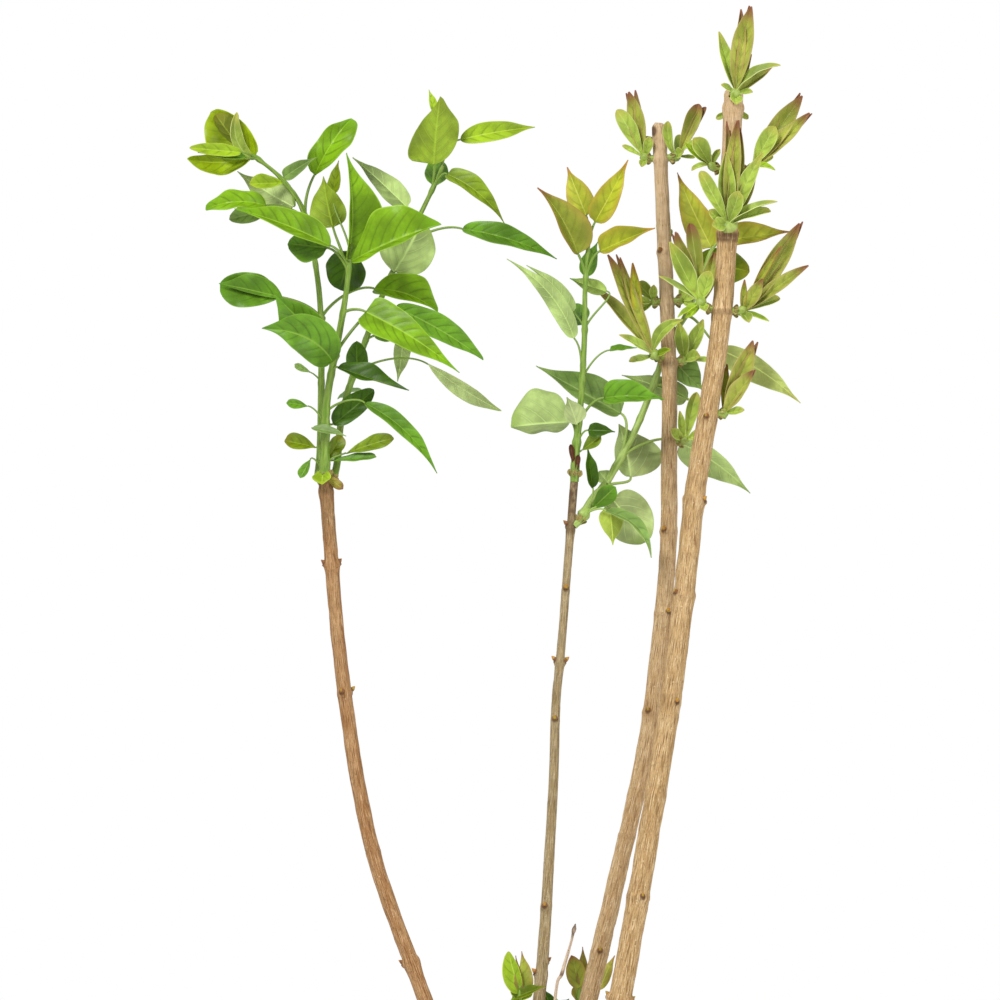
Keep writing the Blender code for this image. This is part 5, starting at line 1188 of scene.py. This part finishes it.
def bark_stem(name, finishes, seed, cut_slope):
    """A woody stem in relief: ridged bark, swollen nodes with leaf scars, and a cut top."""
    stem, route = STEMS[name], stem_route(name)
    rows = int(route.length / BARK_ROW)
    share = np.linspace(-FOOT_SINK / route.length, 1, rows)
    points = route.point(share)
    sunk = share < 0
    points[sunk] += np.array(route.heading(0)) * (share[sunk] * route.length)[:, None]
    heading, side, upper = frames_along(points)
    angles = math.tau * np.arange(BARK_SIDES) / BARK_SIDES
    ring = side[:, None, :] * np.cos(angles)[:, None] + upper[:, None, :] * np.sin(angles)[:, None]
    around = np.broadcast_to(np.arange(BARK_SIDES) / BARK_SIDES, (rows, BARK_SIDES))
    along = np.broadcast_to(((share - share[0]) * route.length)[:, None], around.shape)
    ridges = value_noise(around * 22, along / 9, 22, seed) - 0.5
    cracks = value_noise(around * 40, along / 5, 40, seed + 1) - 0.5
    lumps = value_noise(around * 5, along / 14, 5, seed + 2) - 0.5
    foot = FOOT_FLARE * np.exp(-np.clip(share, 0, 1) * route.length / FOOT_REACH)
    radii = route.radius(share)[:, None] * (1 + foot[:, None])
    radii = radii * (1 + RIDGE * ridges + CRACK * np.minimum(cracks, 0) + LUMP * lumps)
    degrees = np.degrees(np.arctan2(ring[..., 1], ring[..., 0]))
    for height, way in (*stem["buds"], *((mass["seat"][1], mass["seat"][2]) for mass in CLUSTERS.values()
                                         if mass["seat"][0] == name)):
        apart = (degrees - way + 180) % 360 - 180
        offset = (share * route.length)[:, None] - route.share_at_height(height) * route.length
        shelf = np.exp(-((offset + 1.2) / 1.6) ** 2) * np.exp(-(apart / 48) ** 2)
        scar = np.exp(-((offset + 2.6) / 0.7) ** 2) * np.exp(-(apart / 38) ** 2)
        radii = radii + SCAR_SHELF * shelf - SCAR_DENT * scar
    for order, height in enumerate(stem["nodes"]):
        offset = (share * route.length)[:, None] - route.share_at_height(height) * route.length
        pair = next((way for at, way in stem["buds"] if at == height), order * 90)
        sideways = SWELL_ROUND + (1 - SWELL_ROUND) * np.cos(np.radians(degrees - pair)) ** 2
        profile = np.exp(-(offset / np.where(offset < 0, SWELL_BELOW, SWELL_ABOVE)) ** 2)
        radii = radii * (1 + BARK_SWELL * profile * sideways)
        radii = radii - NODE_LINE * np.exp(-((offset - 0.4 * np.sin(math.tau * around * 2)) / 0.45) ** 2)
    below_top = np.clip((1 - share) * route.length / TOP_ROUNDING, 0, 1)[:, None]
    radii = radii * (1 - TOP_DRAWN_IN * (1 - below_top) ** 2)
    surface = points[:, None, :] + ring * radii[:, :, None]
    if cut_slope:
        surface[-1, :, 2] += (surface[-1, :, 0] - points[-1, 0]) * cut_slope
    u, v = np.meshgrid(np.arange(BARK_SIDES + 1) / BARK_SIDES, along[:, 0])
    pattern = np.stack([u, v * MM], axis=-1)
    piece = Piece()
    numbers = piece.grid(surface, pattern, pattern, (math.tau * float(radii.mean()), along[-1, 0]), 0, ring=True)
    cut_face(piece, surface[-1], numbers[-1])
    made = piece.build(name + "_bark", finishes)
    dress(made, name)


def cut_face(piece, rim, rim_numbers):
    """The cut across a stem's top: wood inside the bark, round a small dark pith."""
    centre = rim.mean(axis=0)
    inner = rim_numbers
    for share, sink in ((0.86, 0.0), (0.5, 0.15), (0.2, 0.3)):
        ring = centre + (rim - centre) * share - np.array((0, 0, sink))
        first = piece.add_points(ring)
        numbers = first + np.arange(len(ring))
        numbers = np.append(numbers, numbers[0])
        outer_share = {0.86: 1.0, 0.5: 0.86, 0.2: 0.5}[share]
        cut_ring(piece, inner, numbers, outer_share, share)
        inner = numbers
    middle = piece.add_points(centre - np.array((0, 0, 0.5)))
    cut_ring(piece, inner, np.full(len(inner), middle), 0.2, 0.0)


def cut_ring(piece, outer, inner, outer_share, inner_share):
    """One ring of the cut face, whose pattern place tells how far out it lies."""
    patch = piece.patch(9, 1)
    wide = len(outer)
    numbers = np.stack([outer, inner])
    u = np.linspace(0, 1, wide)
    pattern = np.stack([np.stack([u, np.full(wide, outer_share)], -1), np.stack([u, np.full(wide, inner_share)], -1)])
    sheet = np.stack(np.meshgrid(u * 9, (0, 1)), axis=-1)

    def corners(values):
        four = (values[:-1, :-1], values[:-1, 1:], values[1:, 1:], values[1:, :-1])
        return np.stack(four, axis=2).reshape(-1, 4, *values.shape[2:])

    piece.add_faces(corners(numbers), corners(pattern), corners(pattern), corners(sheet), 1, patch)


def cut_finish():
    """Cut wood: tan with fine rays, and a dark pith."""
    finish = Finish("cut_wood", 0.75, 0.2)
    out = finish.put("ShaderNodeSeparateXYZ", Vector=finish.place("pattern")).outputs[1]
    rays = finish.noise(finish.place("pattern", (40, 3, 1)), 1.0, 3.0)
    wood = finish.mix(finish.between(rays, 0.3, 0.7), (186, 136, 88), (222, 182, 132))
    pith = finish.mix(finish.between(out, 0.16, 0.3, 1.0, 0.0), wood, (92, 58, 34))
    finish.colour(finish.mix(finish.between(out, 0.9, 1.0), pith, (128, 92, 56)))
    return finish.material


def dress(made, node):
    """Hides the solid that a piece stands for, and sets the piece to stand with the plant."""
    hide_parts(node)
    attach(made, "root")


def bud_notches(name):
    """The places of the dark notches that a stem's buds stand in, in metres, and how far each reaches."""
    seats = [seat_on_stem(name, height, degrees) for height, degrees in STEMS[name]["buds"]]
    notches = [(tuple((middle + outward * bark) * MM), NOTCH_REACH) for middle, outward, bark in seats]
    for height, degrees, reach in SCARS.get(name, ()):
        middle, outward, bark = seat_on_stem(name, height, degrees)
        notches.append((tuple((middle + outward * bark) * MM), reach))
    return notches


def stem_buds(finishes, chance):
    """Small pointed buds in the leaf axils of the woody stems."""
    for name, stem in STEMS.items():
        piece = Piece()
        for height, degrees in stem["buds"]:
            middle, outward, bark = seat_on_stem(name, height, degrees)
            lean = unit(outward + np.array(UP) * 0.9)
            beside = np.cross(lean, outward)
            share = np.linspace(0, 1, len(BUD_SHAPE))
            for shift, length, finish in BUD_SCALES:
                size = chance.uniform(0.85, 1.1)
                start = middle + outward * (bark * 0.82) + beside * (shift * BUD_RADIUS)
                line = start + lean * (share[:, None] * BUD_LENGTH * length * size)
                tube(piece, line, np.array(BUD_SHAPE) * BUD_RADIUS * size, finish, sides=10, both_ends=True)
        made = piece.build(name + "_buds", finishes)
        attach(made, "root")


def root_crown(finish):
    """The root crown: a lobed, furrowed flare with a rounded collar under each stem."""
    rows, columns = 34, 120
    rise = np.linspace(0, 1, rows)
    scale = np.interp(rise, *np.array(CROWN_PROFILE).T)
    angle = math.tau * np.arange(columns) / columns
    lobe = 1 + CROWN_LOBE_DEPTH * np.cos(CROWN_LOBES * angle)[None, :] * (1 - rise)[:, None]
    reach = scale[:, None] * lobe
    surface = np.stack([CROWN_CENTRE[0] + CROWN_HALF_WIDTH * reach * np.cos(angle),
                        CROWN_CENTRE[1] + CROWN_HALF_DEPTH * reach * np.sin(angle),
                        np.broadcast_to((CROWN_HEIGHT * rise)[:, None], reach.shape)], axis=-1)
    piece = Piece()
    u, v = np.meshgrid(np.arange(columns + 1) / columns, rise)
    pattern = np.stack([u, v], axis=-1)
    numbers = piece.grid(surface, pattern, pattern, (100, 30), 0, ring=True)
    close_end(piece, surface[-1].mean(axis=0), numbers[-1], pattern[-1], 0)
    close_end(piece, surface[0].mean(axis=0), numbers[0][::-1], pattern[0][::-1], 0)
    for limb in (*STEMS.values(), *SHOOTS.values(), DRY_TWIG):
        if limb["route"][0][2] > CROWN_REACH:
            continue
        route = Route(limb["route"], limb["radii"])
        top = route.point(0)
        bottom = top - np.array(route.heading(0)) * (top[2] - CROWN_HEIGHT + BOSS_DEPTH)
        share = np.linspace(0, 1, BOSS_RINGS)
        radii = route.radius(0) * np.interp(share, *np.array(BOSS_FLARE).T)
        tube(piece, bottom + (top - bottom) * share[:, None], radii, 0, sides=24, both_ends=True)
    made = piece.build("root_crown_bark", [finish])
    fuse = made.modifiers.new("fuse", "REMESH")
    fuse.mode = "VOXEL"
    fuse.voxel_size = CROWN_VOXEL
    relax = made.modifiers.new("relax", "SMOOTH")
    relax.iterations = 6
    relax.factor = 0.6
    bpy.context.view_layer.update()
    fused = bpy.data.meshes.new_from_object(made.evaluated_get(bpy.context.evaluated_depsgraph_get()))
    made.modifiers.clear()
    made.data = fused
    furrow(fused)
    wrap_round(fused)
    fused.materials.clear()
    fused.materials.append(finish)
    fused.shade_smooth()
    dress(made, "root_crown")


def furrow(mesh):
    """Presses furrows that run down the crown into its skin, above the flat cut."""
    points = np.empty(len(mesh.vertices) * 3, np.float32)
    normals = np.empty(len(mesh.vertices) * 3, np.float32)
    mesh.vertices.foreach_get("co", points)
    mesh.vertices.foreach_get("normal", normals)
    points, normals = points.reshape(-1, 3), normals.reshape(-1, 3)
    angle = np.arctan2(points[:, 1] / MM - CROWN_CENTRE[1], points[:, 0] / MM - CROWN_CENTRE[0]) / math.tau + 0.5
    height = points[:, 2] / MM
    deep = value_noise(angle * 46, height / 16, 46, SEED + 5) + 0.5 * value_noise(angle * 90, height / 6, 90, SEED + 6)
    push = (deep - 0.75) * FURROW * smooth_step(0.5, 4, height)
    points += normals * (push * MM)[:, None]
    points[:, 2] = np.maximum(points[:, 2], 0)
    mesh.vertices.foreach_set("co", points.astype(np.float32).ravel())
    mesh.update()


def wrap_round(mesh):
    """Gives the crown's skin pattern places: the way round, and the way up and over the top."""
    points = np.empty(len(mesh.vertices) * 3, np.float32)
    mesh.vertices.foreach_get("co", points)
    x, y, z = points.reshape(-1, 3).T
    x, y = x - CROWN_CENTRE[0] * MM, y - CROWN_CENTRE[1] * MM
    corners = np.empty(len(mesh.loops), np.int32)
    mesh.loops.foreach_get("vertex_index", corners)
    starts = np.empty(len(mesh.polygons), np.int32)
    counts = np.empty(len(mesh.polygons), np.int32)
    mesh.polygons.foreach_get("loop_start", starts)
    mesh.polygons.foreach_get("loop_total", counts)
    around = (np.arctan2(y, x) / math.tau)[corners]
    first = np.repeat(around[starts], counts)
    around = around + np.round(first - around)
    up = (z - CROWN_OVER * np.hypot(x, y))[corners]
    layer = mesh.uv_layers.new(name="pattern")
    layer.data.foreach_set("uv", np.stack([around * CROWN_TURNS, up], axis=-1).astype(np.float32).ravel())


def dry_twig(finish):
    """The old dead twig beside the centre stem."""
    route = Route(DRY_TWIG["route"], DRY_TWIG["radii"])
    share = np.linspace(0, 1, 120)
    around = np.broadcast_to(np.arange(14) / 14, (120, 14))
    along = np.broadcast_to((share * route.length)[:, None], around.shape)
    rough = 1 + 0.22 * (value_noise(around * 7, along / 4, 7, SEED + 9) - 0.5)
    piece = Piece()
    tube(piece, route.point(share), route.radius(share)[:, None] * rough, 0, sides=14)
    made = piece.build("dry_twig_bark", [finish])
    dress(made, "dry_twig")


def base_scales(piece, route, radius, count, chance, finish_index, length):
    """Old bud scales that stand round the foot of a shoot."""
    foot = route.point(0.0) + np.array(route.heading(0.02)) * min(2.2, 0.3 * route.length)
    heading, side, upper = frames_along(np.stack([foot, foot + np.array(route.heading(0.05)) * 2]))
    for index in range(count):
        angle = math.tau * (index + chance.uniform(-0.2, 0.2)) / count
        out = side[0] * math.cos(angle) + upper[0] * math.sin(angle)
        blade = heading[0] * length * chance.uniform(0.7, 1.1) + out * length * chance.uniform(0.35, 0.8)
        spec = leaf(0, NONE, tuple(blade), length * chance.uniform(0.55, 0.8), kind="spoon", roll=0.9, ripple=0.1)
        spec["turn"] = chance.uniform(-0.6, 0.6)
        leaf_blade(piece, spec, foot + out * radius * 0.75, (finish_index, finish_index), chance)


def inner_leaves(entry, chance):
    """Narrower leaves wrapped in a young one, whose tips stand beside its own."""
    made = []
    for shift, depth, share in SHEAF:
        inner = dict(entry)
        reach = entry["width"] * shift
        inner["blade"] = entry["blade"] * (share + chance.uniform(-0.02, 0.02)) + Vector((reach, depth, 0))
        inner["width"] = entry["width"] * SHEAF_WIDTH
        inner["tint"] = "wine"
        made.append(inner)
    return made


def mass(name, spec, tints, shoot_skins, scale_skin, chance):
    """A mass of foliage: its shoot with stalks, and its leaves, each kind one piece."""
    route = mass_route(spec)
    rows = max(6, int(route.length / SHOOT_ROW))
    share = np.linspace(0, 1, rows)
    radii = route.radius(share)
    for entry in spec["leaves"]:
        apart = (share - entry["at"]) * route.length
        radii = radii * (1 + JOINT_SWELL * np.exp(-(apart / JOINT_REACH) ** 2))
    twigs = Piece()
    line = route.point(share)
    tube(twigs, line, radii, 0, sides=16)
    leaves = [*spec["leaves"]]
    for entry in spec["leaves"]:
        if entry["tint"] == "plum" and entry["blade"].length > SHEAF_LENGTH and entry["width"] >= SHEAF_LEAST:
            leaves += inner_leaves(entry, chance)
    used = sorted({entry["tint"] for entry in leaves})
    finishes = []
    for tint in used:
        finishes += tints[tint]
    blades = Piece()
    for entry in leaves:
        place = used.index(entry["tint"]) * 2
        leaf_on(blades, twigs, entry, route.point(entry["at"]), route.heading(entry["at"]),
                (place, place + 1), 0, chance)
    count = SCALES_ON_SHOOT if "radii" in spec else SCALES_ON_SPUR
    base_scales(twigs, route, float(route.radius(0)), count, chance, 1, 4.2 if "radii" in spec else 3.2)
    leaves_made = blades.build(name + "_leaves", finishes)
    dress(leaves_made, name)
    twigs_made = twigs.build(name + "_shoot", [shoot_skins["radii" in spec], scale_skin])
    dress(twigs_made, name)


def studio():
    """A pale floor, soft light from all round, and two soft lamps."""
    world = bpy.data.worlds.new("studio")
    bpy.context.scene.world = world
    world.use_nodes = True
    nodes, links = world.node_tree.nodes, world.node_tree.links
    sky = nodes["Background"]
    sky.inputs["Color"].default_value = (1, 1, 1, 1)
    sky.inputs["Strength"].default_value = SKY_STRENGTH
    backdrop = nodes.new("ShaderNodeBackground")
    backdrop.inputs["Color"].default_value = (1, 1, 1, 1)
    seen = nodes.new("ShaderNodeLightPath")
    choice = nodes.new("ShaderNodeMixShader")
    links.new(seen.outputs["Is Camera Ray"], choice.inputs[0])
    links.new(sky.outputs[0], choice.inputs[1])
    links.new(backdrop.outputs[0], choice.inputs[2])
    links.new(choice.outputs[0], nodes["World Output"].inputs["Surface"])
    for name, place, size, power in LAMPS:
        lamp = bpy.data.lights.new(name, "AREA")
        lamp.shape = "DISK"
        lamp.size = size
        lamp.energy = power
        stand = bpy.data.objects.new(name, lamp)
        bpy.context.scene.collection.objects.link(stand)
        stand.location = place
        stand.rotation_euler = (Vector(AIM) - Vector(place)).to_track_quat("-Z", "Y").to_euler()
    floor_mesh = bpy.data.meshes.new("floor")
    angles = [math.tau * index / 64 for index in range(64)]
    floor_mesh.from_pydata([(FLOOR_RADIUS * math.cos(a), FLOOR_RADIUS * math.sin(a), 0) for a in angles], [],
                           [tuple(range(64))])
    floor = bpy.data.objects.new("floor", floor_mesh)
    bpy.context.scene.collection.objects.link(floor)
    paper = Finish("paper", 0.9, 0.2)
    paper.shader.inputs["Base Color"].default_value = (0.9, 0.9, 0.9, 1)
    floor_mesh.materials.append(paper.material)


def camera():
    """The camera, level and straight on, a little above the middle of the plant."""
    lens = bpy.data.cameras.new("camera")
    lens.sensor_width = SENSOR
    lens.lens = SENSOR * CAMERA_DISTANCE / PICTURE_WIDTH
    lens.clip_end = 50
    made = bpy.data.objects.new("camera", lens)
    bpy.context.scene.collection.objects.link(made)
    made.location = (PICTURE_MIDDLE[0], -CAMERA_DISTANCE, PICTURE_MIDDLE[1])
    made.rotation_euler = (math.radians(90), 0, 0)
    bpy.context.scene.camera = made


def main():
    """Dresses the whole bush."""
    chance = random.Random(SEED)
    tints = {}
    for name, (face, rib, margin, tip, under, veining, *flush) in TINTS.items():
        # The upper face's side veins take a darker copy of the face colour: painted shade in the sunk grooves
        sunk = tuple(c * VEIN_GROOVE_SHADE for c in face)
        raised = tuple(min(255, c * 1.14 + 8) for c in under)
        blush = flush[0] if flush else 0.0
        tints[name] = (leaf_finish(name + "_upper", face, sunk, rib, margin, tip, 0.4, UPPER_VEIN * veining, UPPER_RIB, blush),
                       leaf_finish(name + "_under", under, raised, raised, margin, tip, 0.6, UNDER_VEIN * veining, UNDER_RIB, blush))
    cut = cut_finish()
    barks = {}
    for name, colours in BARKS.items():
        rings = [(height - 1, *NODE_BAND, colours[2]) for height in STEMS[name]["nodes"]]
        barks[name] = bark_finish(name + "_bark", *colours, rings + STAINS_AND_PAINTED_SHADOWS.get(name, []), bud_notches(name))
    for index, name in enumerate(STEMS):
        bark_stem(name, [barks[name], cut], SEED * 10 + index * 7, CUT_SLOPES.get(name, 0))
    scale_skin = shoot_finish("scale_skin", (142, 118, 66), (178, 170, 100), (96, 56, 36))
    stem_buds([bud_finish(), shoot_finish("bud_scale_skin", (112, 66, 32), (150, 100, 54), (62, 36, 20))], chance)
    root_crown(bark_finish("crown_bark", *CROWN_BARK))
    dry_twig(bark_finish("twig_bark", *TWIG_BARK, TWIG_BANDS))
    skins = {True: shoot_finish("shoot_skin", (96, 132, 32), (140, 166, 72), (102, 100, 40)),
             False: shoot_finish("spur_skin", (128, 152, 52), (166, 184, 96), (104, 80, 40))}
    pale_skins = {True: shoot_finish("pale_shoot_skin", (132, 162, 62), (172, 194, 108), (112, 132, 56))}
    for name, spec in {**SHOOTS, **CLUSTERS}.items():
        mass(name, spec, tints, pale_skins if name in PALE_SHOOTS else skins, scale_skin, chance)
    studio()
    camera()
    bpy.context.scene.view_settings.view_transform = "Standard"


main()
